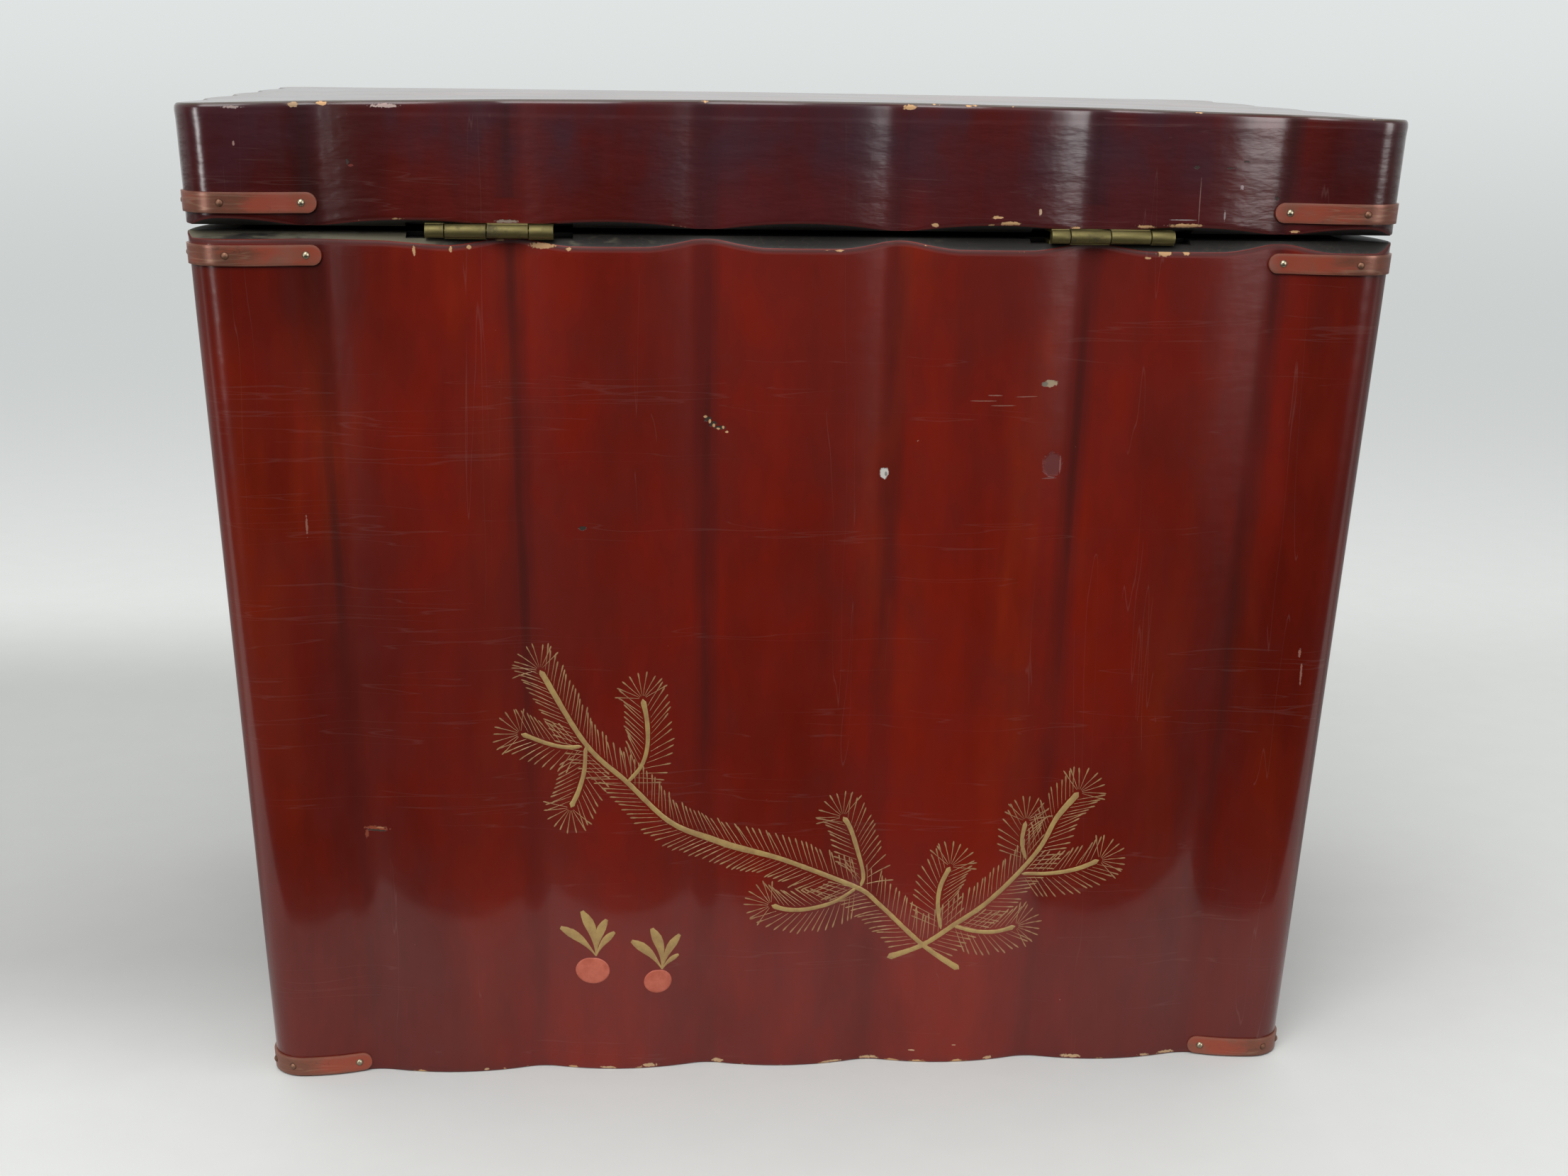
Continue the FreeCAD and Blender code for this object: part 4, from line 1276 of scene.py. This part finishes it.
@dataclass
class StrapLevel:
    """Four straps and sixteen nails at one level."""

    prefix: str
    low: float
    carrier: Carrier
    outline: Outline
    sizes: StrapSizes
    lower: Callable[[Object], None] | None = None
    parts: tuple[int, int, int] = (9, 16, 6)
    rows: int = 7

    def leg_stations(self, side: Side, end: int) -> list[tuple[Station, float]]:
        """Columns of one leg with their half heights, from the round end to the corner."""
        half = self.outline.halves(side)[0]
        size = self.outline.scale_at(self.low + self.sizes.height / 2)
        radius = self.sizes.height / 2
        full_from = (size * half - self.sizes.leg + radius) / size
        round_parts, straight_parts, corner_parts = self.parts
        columns = []
        for index in range(round_parts):
            turn = math.pi / 2 * index / round_parts
            along = full_from - radius * math.cos(turn) / size
            columns.append((self.outline.station_at(side, end * along), radius * math.sin(turn)))
        corner_at = half - self.outline.corner_radius
        for index in range(straight_parts):
            along = full_from + (corner_at - full_from) * index / straight_parts
            columns.append((self.outline.station_at(side, end * along), radius))
        out = self.outline.halves(side)[1] - self.outline.corner_radius
        for index in range(corner_parts + 1):
            angle = end * math.pi / 4 * index / corner_parts
            station = self.outline.station(side, end * corner_at, out, self.outline.corner_radius, angle)
            columns.append((station, radius))
        return columns

    def strap(self, corner: Corner, palette: Palette) -> Object:
        """Models one strap as bent sheet metal."""
        first, second = corner.value
        before = self.leg_stations(first, 1)
        after = self.leg_stations(second, -1)
        columns = before + list(reversed(after))[1:]
        deselect_all()
        bpy.ops.mesh.primitive_grid_add(x_subdivisions=len(columns) - 1, y_subdivisions=self.rows - 1, size=2.0)
        obj = rename(bpy.context.object, f"{self.prefix}_strap_{corner.name.lower()}_sheet")
        middle = self.low + self.sizes.height / 2
        run = obj.data.attributes.new("run", "FLOAT", "POINT")
        edge = obj.data.attributes.new("side", "FLOAT", "POINT")
        for vertex in obj.data.vertices:
            column = round((vertex.co.x + 1) / 2 * (len(columns) - 1))
            share = vertex.co.y
            station, half_height = columns[column]
            height = middle + share * half_height
            place = self.outline.wall_point(station, height, self.sizes.thickness)
            run.data[vertex.index].value = abs(2 * column / (len(columns) - 1) - 1)
            edge.data[vertex.index].value = abs(share)
            vertex.co = [c * MM for c in place]
        with editing(obj):
            turn_outwards(merge=True)
        flip_if_inward(obj)
        apply_modifier(obj, "SOLIDIFY", thickness=self.sizes.thickness * MM, offset=-1.0)
        apply_modifier(obj, "BEVEL", width=self.sizes.bevel * MM, segments=2, limit_method="ANGLE",
                       angle_limit=math.radians(50))
        obj.data.materials.append(palette.strap)
        if self.lower:
            self.lower(obj)
        smooth(obj, 50.0)
        node = f"{self.prefix}_strap_{corner.name.lower()}"
        return finish_piece(obj, self.carrier, [node])

    def nails(self, palette: Palette) -> Object:
        """Models one domed head and sets a copy at each place."""
        head = domed_head(self.sizes.head_radius, self.sizes.head_height)
        for material in (palette.nail, palette.painted_nail):
            head.data.materials.append(material)
        copies = []
        height = self.low + self.sizes.height / 2
        grow = self.sizes.thickness + self.sizes.head_lift
        for corner in Corner:
            for side, end in ((corner.value[0], 1), (corner.value[1], -1)):
                half = self.outline.halves(side)[0]
                size = self.outline.scale_at(height)
                for from_corner in (self.sizes.corner_nail, self.sizes.leg - self.sizes.end_nail):
                    station = self.outline.station_at(side, end * (half - from_corner / size))
                    point = Vector(self.outline.wall_point(station, height, grow)) * MM
                    nx, ny = station.normal()
                    x, y = station.place(size)
                    lean = self.outline.flare * (x * nx + y * ny) / size
                    copies.append(set_copy(head, point, Vector((nx, ny, -lean))))
                    painted = from_corner == self.sizes.corner_nail
                    copies[-1].data.polygons.foreach_set("material_index", [int(painted)] * len(head.data.polygons))
        bpy.data.objects.remove(head)
        obj = join(copies, f"{self.prefix}_strap_nail_heads")
        if self.lower:
            self.lower(obj)
        smooth(obj, 50.0)
        return finish_piece(obj, self.carrier, [f"{self.prefix}_strap_nails"])

    def build(self, palette: Palette) -> None:
        """Makes the straps and nails of this level."""
        for corner in Corner:
            self.strap(corner, palette)
        self.nails(palette)


def flip_if_inward(obj: Object) -> None:
    """Turns an open sheet's faces away from the box's middle."""
    facing = sum(face.normal.x * face.center.x + face.normal.y * face.center.y for face in obj.data.polygons)
    if facing < 0:
        with editing(obj):
            bpy.ops.mesh.flip_normals()


def domed_head(radius: float, height: float, shank: float = 0.4, length: float = 1.5) -> Object:
    """Domed nail head on z = 0 with the start of its shank, sizes in mm."""
    dome = (radius ** 2 + height ** 2) / (2 * height)
    deselect_all()
    bpy.ops.mesh.primitive_uv_sphere_add(segments=24, ring_count=64, radius=dome * MM,
                                         location=(0, 0, (height - dome) * MM))
    head = bpy.context.object
    settle(head)
    with editing(head):
        bpy.ops.mesh.bisect(plane_co=(0, 0, 0), plane_no=(0, 0, 1), use_fill=True, clear_inner=True)
        bpy.ops.mesh.select_all(action="DESELECT")
    for face in head.data.polygons:
        face.select = abs(face.normal.z) > 0.99 and len(face.vertices) > 4
    pick(head)
    bpy.ops.object.mode_set(mode="EDIT")
    bpy.ops.mesh.select_mode(type="FACE")
    bpy.ops.mesh.inset(thickness=(radius - shank) * MM, depth=0.0)
    bpy.ops.mesh.extrude_region_move(TRANSFORM_OT_translate={"value": (0, 0, -length * MM)})
    turn_outwards()
    bpy.ops.object.mode_set(mode="OBJECT")
    return head


def set_copy(source: Object, point: Vector, direction: Vector) -> Object:
    """Copy of a piece made along Z, with its own mesh, set at a point in metres."""
    copy = copied(source)
    turn = direction.to_track_quat("Z", "Y").to_matrix().to_4x4()
    copy.data.transform(Matrix.Translation(point) @ turn)
    return copy


# Painted pine sprays

Path = tuple[Flat, ...]


def smooth_path(knots: Path, step: float) -> list[Flat]:
    """Points about a step apart on a smooth curve through the knots."""
    ends = [tuple(2 * a - b for a, b in zip(knots[0], knots[1]))]
    tail = [tuple(2 * a - b for a, b in zip(knots[-1], knots[-2]))]
    line = ends + list(knots) + tail
    points = []
    for p0, p1, p2, p3 in zip(line, line[1:], line[2:], line[3:]):
        parts = max(2, round(math.dist(p1, p2) / step))
        for index in range(parts):
            t = index / parts
            points.append(tuple(
                0.5 * (2 * b + (c - a) * t + (2 * a - 5 * b + 4 * c - d) * t ** 2 + (3 * b - a - 3 * c + d) * t ** 3)
                for a, b, c, d in zip(p0, p1, p2, p3)))
    return points + [knots[-1]]


@dataclass(frozen=True)
class Branch:
    """Brush stroke through knots in x and z, with needles on both sides from a share of its length on."""

    knots: Path
    half_width: float = 0.7
    needles_from: float = 0.0
    swell_at: float = -1.0


@dataclass(frozen=True)
class Fruit:
    """Round fruit with a stem and leaves that end at the given tips."""

    centre: Flat
    half: Flat
    stem: Flat
    tips: Path


@dataclass
class PaintedSprays:
    """Two pine sprays and two fruits in raised brush paint, low down on one wall."""

    outline: Outline
    side: Side
    branches: tuple[Branch, ...] = (
        Branch(((-45.8, 27.6), (-35.8, 34.7), (-24.6, 45.1), (-17.4, 51.0), (1.8, 59.8), (19.4, 64.4),
                (31.4, 70.2), (42.8, 81.9), (53.5, 92.4), (65.0, 111.7)), 0.72, 0.09, 0.51),
        Branch(((54.4, 91.7), (58.8, 91.3), (64.1, 92.2), (70.0, 94.5))),
        Branch(((53.5, 91.6), (53.9, 85.0), (55.4, 79.4), (57.4, 74.8))),
        Branch(((42.8, 81.9), (39.2, 86.4), (37.7, 91.7), (37.8, 98.4), (38.9, 104.5))),
        Branch(((-18.9, 50.9), (-19.6, 54.1), (-17.9, 60.9), (-15.6, 67.9), (-13.6, 71.2))),
        Branch(((-17.8, 50.6), (-11.9, 47.3), (-4.8, 45.7), (0.8, 45.7), (4.9, 46.9))),
        Branch(((-26.6, 30.4), (-35.8, 34.7), (-44.1, 40.7), (-52.4, 46.5), (-61.7, 55.2), (-66.9, 61.7),
                (-70.7, 70.0), (-75.8, 77.3)), 0.75, 0.14),
        Branch(((-40.4, 39.4), (-39.4, 45.9), (-39.9, 51.8), (-42.2, 57.2))),
        Branch(((-43.8, 40.3), (-49.3, 38.6), (-55.2, 38.0), (-60.9, 38.9))),
        Branch(((-62.9, 58.0), (-61.5, 63.4), (-62.3, 69.0))),
        Branch(((-61.9, 54.0), (-68.9, 53.8), (-76.2, 55.6), (-82.1, 58.4))),
    )
    fruits: tuple[Fruit, ...] = (
        Fruit((51.9, 28.9), (4.5, 3.8), (51.0, 33.1), ((60.3, 40.8), (54.7, 45.8), (48.2, 43.6), (46.1, 40.0))),
        Fruit((34.7, 25.4), (3.7, 3.4), (33.6, 28.8), ((41.7, 37.4), (36.4, 40.7), (28.9, 38.3), (29.2, 32.6))),
    )
    sink: float = 0.04
    branch_rise: float = 0.11
    branch_step: float = 0.9
    needle_rise: float = 0.07
    needle_length: Flat = (6.9, 7.5)
    needle_step: Flat = (1.4, 1.6)
    needle_angles: Flat = (54.0, 16.0)
    needle_widths: tuple[Flat, ...] = ((0.0, 0.08), (0.3, 0.13), (0.7, 0.16), (0.86, 0.28), (0.95, 0.26), (1.0, 0.08))
    fan_needles: int = 9
    fan_step: float = 18.0
    fan_length: Flat = (6.0, 6.6)
    leaf_rise: float = 0.09
    leaf_parts: int = 8
    fruit_rise: float = 0.22

    def stroke(self, tube: Tube, points: Sequence[Flat], widths: Sequence[float], height: float) -> Object:
        """Lays one brush stroke on the wall.

        Args:
            tube: the stroke's unshaped tube, with a row for each point.
            points: middle line in x and z.
            widths: half width at each point.
            height: how far it stands over the wall.

        Returns:
            The stroke's object.
        """
        grid = []
        last = len(points) - 1
        for index, ((x, z), width) in enumerate(zip(points, widths)):
            (x0, z0), (x1, z1) = points[max(index - 1, 0)], points[min(index + 1, last)]
            length = math.hypot(x1 - x0, z1 - z0)
            across = ((z0 - z1) / length, (x1 - x0) / length)
            row = []
            for column in range(tube.columns):
                angle = math.tau * column / tube.columns
                reach = width * math.cos(angle)
                lift = height * min(1.0, width / 0.2) * math.sin(angle)
                row.append(self.outline.on_side(self.side, x + reach * across[0], z + reach * across[1],
                                                lift if math.sin(angle) > 1e-6 else -self.sink))
            grid.append(row)
        return tube.copy_shaped(grid)

    def blank(self, columns: int, rows: int) -> Tube:
        """Closed tube that strokes are copied from."""
        tube = Tube("stroke_blank", columns, rows)
        tube.close(bridge=False)
        tube.read_rows()
        return tube

    def gather(self, pieces: list[Object], name: str, material: Material) -> None:
        """Joins strokes into one piece and hands it over."""
        obj = join(pieces, f"{self.side.name.lower()}_{name}")
        with editing(obj):
            turn_outwards()
        obj.data.materials.append(material)
        smooth(obj, 60.0)
        finish_piece(obj, Carrier.CASE)

    def branch_strokes(self) -> list[Object]:
        """Lays the branches, with round ends and an uneven width."""
        draws = random.Random(21)
        pieces = []
        for branch in self.branches:
            points = smooth_path(branch.knots, self.branch_step)
            total = len(points) - 1
            widths = []
            for index in range(total + 1):
                near_end = min(index, total - index) * self.branch_step / branch.half_width
                round_end = math.sqrt(1 - (1 - min(near_end, 1.0)) ** 2) if near_end < 1 else 1.0
                share = index / total
                swell = 0.45 * math.exp(-((share - branch.swell_at) / 0.07) ** 2) + draws.uniform(-0.05, 0.05)
                swell += 0.35 * math.exp(-(share / 0.05) ** 2) if branch.needles_from else 0.0
                swell += 0.25 * math.exp(-((1 - share) / 0.08) ** 2)
                swell += 1.0 if branch.needles_from else 0.78 + 0.22 * share
                widths.append(max(branch.half_width * round_end * swell, 0.12))
            tube = self.blank(6, total + 1)
            pieces.append(self.stroke(tube, points, widths, self.branch_rise))
            bpy.data.objects.remove(tube.obj)
        return pieces

    def needle_strokes(self) -> list[Object]:
        """Lays the needles on both sides of every branch and in a fan at its tip."""
        draws = random.Random(9)
        tube = self.blank(4, len(self.needle_widths))
        pieces = []

        def needle(start: Flat, heading: float, length: float) -> None:
            """Adds one needle: thin at the branch, with a drop of paint near its tip."""
            bend = draws.uniform(-0.06, 0.06)
            points, widths = [], []
            for share, width in self.needle_widths:
                turn = heading + bend * share
                points.append((start[0] + math.cos(turn) * length * share, start[1] + math.sin(turn) * length * share))
                widths.append(width)
            pieces.append(self.stroke(tube, points, widths, self.needle_rise))

        for branch in self.branches:
            points = smooth_path(branch.knots, 0.3)
            lengths = [0.0]
            for a, b in zip(points, points[1:]):
                lengths.append(lengths[-1] + math.dist(a, b))
            for sign in (-1, 1):
                at = branch.needles_from * lengths[-1] + draws.uniform(0.6, 1.2)
                while at < lengths[-1] - 0.8:
                    index = min(int(np.searchsorted(lengths, at)), len(points) - 1)
                    (x0, z0), (x1, z1) = points[index - 1], points[index]
                    tangent = math.atan2(z1 - z0, x1 - x0)
                    share = at / lengths[-1]
                    widest, closing = self.needle_angles
                    heading = tangent + sign * math.radians(widest - closing * share + draws.uniform(-2, 2))
                    off = branch.half_width + draws.uniform(0.1, 0.5)
                    start = (x1 - math.sin(tangent) * off * sign, z1 + math.cos(tangent) * off * sign)
                    needle(start, heading, draws.uniform(*self.needle_length))
                    at += draws.uniform(*self.needle_step)
            (x0, z0), (x1, z1) = points[-3], points[-1]
            tangent = math.atan2(z1 - z0, x1 - x0)
            for index in range(self.fan_needles):
                place = index - (self.fan_needles - 1) / 2
                heading = tangent + math.radians(self.fan_step * place + draws.uniform(-2, 2))
                start = (x1 + math.cos(heading) * 0.9, z1 + math.sin(heading) * 0.9)
                needle(start, heading, draws.uniform(*self.fan_length))
        bpy.data.objects.remove(tube.obj)
        return pieces

    def leaf_strokes(self) -> list[Object]:
        """Lays the fruits' stems and leaves."""
        tube = self.blank(8, self.leaf_parts + 1)
        pieces = []
        for fruit in self.fruits:
            for tip in fruit.tips:
                points, widths = [], []
                side = 1 if tip[0] > fruit.stem[0] else -1
                length = math.dist(tip, fruit.stem)
                for index in range(self.leaf_parts + 1):
                    share = index / self.leaf_parts
                    x, z = mix_points(fruit.stem, tip, share)
                    bow = 0.08 * length * math.sin(math.pi * share)
                    points.append((x - side * bow * (tip[1] - fruit.stem[1]) / length,
                                   z + side * bow * (tip[0] - fruit.stem[0]) / length))
                    belly = math.sin(math.pi * min(share, 0.97) ** 2.0) ** 0.8
                    widths.append(0.17 + 0.104 * length * belly)
                pieces.append(self.stroke(tube, points, widths, self.leaf_rise))
        bpy.data.objects.remove(tube.obj)
        return pieces

    def fruit_domes(self) -> list[Object]:
        """Lays the fruits as low domes."""
        pieces = []
        for fruit in self.fruits:
            deselect_all()
            bpy.ops.mesh.primitive_uv_sphere_add(segments=32, ring_count=16, radius=1.0)
            dome = bpy.context.object
            with editing(dome):
                bpy.ops.mesh.bisect(plane_co=(0, 0, 0), plane_no=(0, 0, 1), use_fill=True, clear_inner=True)
            for vertex in dome.data.vertices:
                u, v, w = vertex.co
                lobe = 1 - 0.05 * max(0.0, v) * math.exp(-(u / 0.25) ** 2)
                lift = self.fruit_rise * math.sqrt(w) if w > 1e-4 else -self.sink
                place = self.outline.on_side(self.side, fruit.centre[0] + u * fruit.half[0],
                                             fruit.centre[1] + v * fruit.half[1] * lobe, lift)
                vertex.co = [c * MM for c in place]
            pieces.append(dome)
        return pieces

    def build(self, palette: Palette) -> None:
        """Makes the painting of one wall."""
        self.gather(self.branch_strokes(), "painted_branches", palette.gold)
        self.gather(self.needle_strokes(), "painted_needles", palette.needle)
        self.gather(self.leaf_strokes(), "painted_leaves", palette.gold)
        self.gather(self.fruit_domes(), "painted_fruits", palette.salmon)


# Studio

@dataclass(frozen=True)
class PaleSheet(Coating):
    """Pale paper with a painted shadow by the box, fading into the distance as the camera and the box's gloss see it.
    """

    paper: Colour
    distance: Colour
    shade: Colour = (0.05, 0.045, 0.045)

    def mix(self, bench: Bench, place: Wire) -> None:
        """Adds the paper with its painted shadow, the distance behind it, and what the gloss shows of it."""
        x, y, _ = place.axes()
        tone = place.noise(60.0, 4.0, 0.55).band(0.3, 0.7)
        colour = bench.blend(tone, [c * 0.985 for c in self.paper], self.paper)
        # Painted shadow: the paper darkens beside and behind the box, most on its +x side, where its soft cast shadow
        # falls.
        behind = y.band(0.11, 0.0) * y.band(-0.44, -0.26)
        colour = bench.blend(behind * x.band(-0.10, 0.15, 0.10, 0.33), colour, (0.0, 0.0, 0.0))
        paper = bench.add("BsdfPrincipled", {"Base Color": colour, "Roughness": 0.85, "Specular IOR Level": 0.1})
        distance, shade = (bench.add("Emission", {0: seen}) for seen in (self.distance, self.shade))
        glossy = bench.add("LightPath", output="Is Glossy Ray")
        faded = Wire(bench, glossy.node, "Is Camera Ray") * y.band(-0.22, -1.3)
        near = bench.add("MixShader", {0: glossy * y.band(0.08, 0.0, 0.15, 0.65), 1: paper, 2: shade})
        seen = bench.add("MixShader", {0: faded, 1: near, 2: distance})
        whole = bench.add("MixShader", {0: glossy * y.band(0.179, 0.189), 1: seen, 2: bench.add("BsdfTransparent")})
        bench.add("OutputMaterial", {0: whole})


@dataclass
class Studio:
    """Camera, floor, background and lamps."""

    image_width: int = 2212
    focal_pixels: float = 3200.0
    camera_place: Point = (51.0, 652.2, 272.1)
    yaw: float = -4.911
    pitch: float = 13.934
    roll: float = 0.992
    floor_near: float = 190.0
    floor_far: float = -1500.0
    floor_half: float = 1800.0
    floor_colour: Colour = (0.605, 0.61, 0.595)
    far_colour: Colour = (0.60, 0.625, 0.62)
    high_colour: Colour = (0.745, 0.775, 0.77)
    room_high: Colour = (0.55, 0.56, 0.57)
    room_glow: Colour = (0.30, 0.28, 0.29)
    room_dim: Colour = (0.06, 0.055, 0.06)
    room_low: Colour = (0.012, 0.012, 0.012)

    def camera(self) -> None:
        """Sets the camera where the photograph was taken from."""
        turns = zip((self.roll, self.pitch, -self.yaw), "YXZ")
        about_y, about_x, about_z = (Matrix.Rotation(math.radians(angle), 3, axis) for angle, axis in turns)
        right, forward, up = (Vector((-row[0], -row[1], row[2])) for row in about_y @ about_x @ about_z)
        data = bpy.data.cameras.new("camera")
        data.sensor_fit = "HORIZONTAL"
        data.sensor_width = 36.0
        data.lens = self.focal_pixels / self.image_width * data.sensor_width
        data.clip_start, data.clip_end = 0.02, 20.0
        camera = bpy.data.objects.new("camera", data)
        bpy.context.scene.collection.objects.link(camera)
        turn = Matrix((right, up, -forward)).transposed()
        camera.matrix_world = Matrix.Translation(Vector(self.camera_place) * MM) @ turn.to_4x4()
        bpy.context.scene.camera = camera

    def floor(self) -> None:
        """Pale sheet that fades into the background and ends just outside the picture."""
        middle = (self.floor_near + self.floor_far) / 2
        deselect_all()
        bpy.ops.mesh.primitive_plane_add(size=1.0, location=(0, middle * MM, 0))
        sheet = rename(bpy.context.object, "floor_sheet")
        sheet.scale = (2 * self.floor_half * MM, (self.floor_near - self.floor_far) * MM, 1.0)
        settle(sheet)
        sheet.data.materials.append(PaleSheet("floor_sheet", self.floor_colour, self.far_colour).build())

    def surroundings(self) -> None:
        """World: pale where the camera looks, darker low down behind the hinged wall."""
        world = bpy.data.worlds.new("surroundings")
        world.use_nodes = True
        world.node_tree.nodes.clear()
        bench = Bench(world.node_tree)
        x, y, z = bench.add("TexCoord", output="Generated").axes()
        dim = bench.blend(x.band(-0.45, -0.68), self.room_dim, self.room_glow)
        near = bench.blend(z.band(-0.14, -0.30), dim, self.room_low)
        room = bench.blend(z.band(0.05, 0.35), near, self.room_high)
        room = bench.blend(y.band(-0.25, 0.35), self.high_colour, room)
        seen = bench.blend(z.band(-0.12, 0.02), self.far_colour, self.high_colour)
        colour = bench.blend(bench.add("LightPath", output="Is Camera Ray"), room, seen)
        bench.add("OutputWorld", {0: bench.add("Background", {0: colour, 1: 1.0})})
        bpy.context.scene.world = world

    def lamp(self, name: str, place: Point, target: Point, size: Flat, power: float, gloss_only: bool = False) -> None:
        """Soft rectangular lamp.

        Args:
            name: the lamp's name.
            place: its place in mm.
            target: the point that it faces, in mm.
            size: its width and height in mm.
            power: its power in watts.
            gloss_only: it shows in gloss but lights nothing, like a pale card.
        """
        data = bpy.data.lights.new(name, "AREA")
        data.shape = "RECTANGLE"
        data.size, data.size_y = (s * MM for s in size)
        data.energy = power
        lamp = bpy.data.objects.new(name, data)
        bpy.context.scene.collection.objects.link(lamp)
        lamp.location = Vector(place) * MM
        facing = Vector(target) - Vector(place)
        lamp.rotation_euler = facing.to_track_quat("-Z", "Y").to_euler()
        lamp.visible_diffuse = not gloss_only

    def build(self) -> None:
        """Sets up the whole studio."""
        self.camera()
        self.floor()
        self.surroundings()
        self.lamp("key_lamp", (450, 1250, 1400), (0, 60, 120), (1100, 1100), power=23.0)
        self.lamp("top_lamp", (0, -200, 2200), (0, 0, 100), (1900, 1900), power=23.0)
        self.lamp("right_card", (-1150, 1160, 450), (-100, 100, 200), (560, 800), power=10.5, gloss_only=True)
        self.lamp("left_card", (1229, 1142, 190), (150, 100, 220), (220, 480), power=6.5, gloss_only=True)
        bpy.context.scene.view_settings.view_transform = "Standard"


# Pieces that keep the shape of their nodes

class Dressing:
    """Good finishes and rounded edges for the nodes that stay."""

    def dress(self, nodes: dict[str, Object], names: Sequence[str], material: Material, radius: float) -> None:
        """Gives nodes a finish and rounds their edges.

        Args:
            nodes: the frame's nodes.
            names: the nodes to dress.
            material: the finish.
            radius: how far the edges are rounded, in mm.
        """
        for name in names:
            node = nodes[name]
            node.data.materials.clear()
            node.data.materials.append(material)
            weld = node.modifiers.new("Weld", "WELD")
            weld.merge_threshold = 10 * WELD
            bevel = node.modifiers.new("Bevel", "BEVEL")
            bevel.width = radius * MM
            bevel.segments = 2
            bevel.limit_method = "ANGLE"
            bevel.angle_limit = math.radians(40)
            log.info("%s: dressed, rides with its body", name)

    def build(self, nodes: dict[str, Object], palette: Palette) -> None:
        """Dresses every node that stays."""
        tray = [n for n in nodes if n.startswith("tray_") and "ledge" not in n]
        wood = [n for n in nodes if n == "base_board" or "ledge" in n]
        leaves = [n for n in nodes if "leaf" in n]
        metal = [n for n in nodes if n.endswith("_pin") or n.startswith("catch")]
        nails = [n for n in nodes if n in ("hinge_body_nails", "hinge_lid_nails")]
        self.dress(nodes, tray, palette.tray, 0.6)
        self.dress(nodes, wood, palette.inside, 0.5)
        self.dress(nodes, leaves, palette.brass, 0.12)
        self.dress(nodes, metal, palette.brass, 0.15)
        self.dress(nodes, nails, palette.nail, 0.05)


def main() -> None:
    """Builds the whole scene."""
    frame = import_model()
    nodes = frame["nodes"]
    outline = Outline()
    rims = RimSizes()
    sizes = StrapSizes()
    palette = Palette()
    Studio().build()
    BodyShell(outline, rims).build(palette)
    lid = LidShell(outline, rims)
    lid.build(palette)
    StrapLevel("lid", rims.lid_rim + sizes.from_rim, Carrier.LID, outline, sizes, lid.lower).build(palette)
    StrapLevel("body_top", rims.body_height - sizes.from_rim - sizes.height, Carrier.CASE, outline,
               sizes).build(palette)
    foot = StrapSizes(leg=25.4, end_nail=3.3, corner_nail=5.2)
    StrapLevel("body_bottom", foot.from_table, Carrier.CASE, outline, foot).build(palette)
    for side in (Side.REAR, Side.FRONT):
        PaintedSprays(outline, side).build(palette)
    Dressing().build(nodes, palette)


if __name__ == "__main__":
    main()
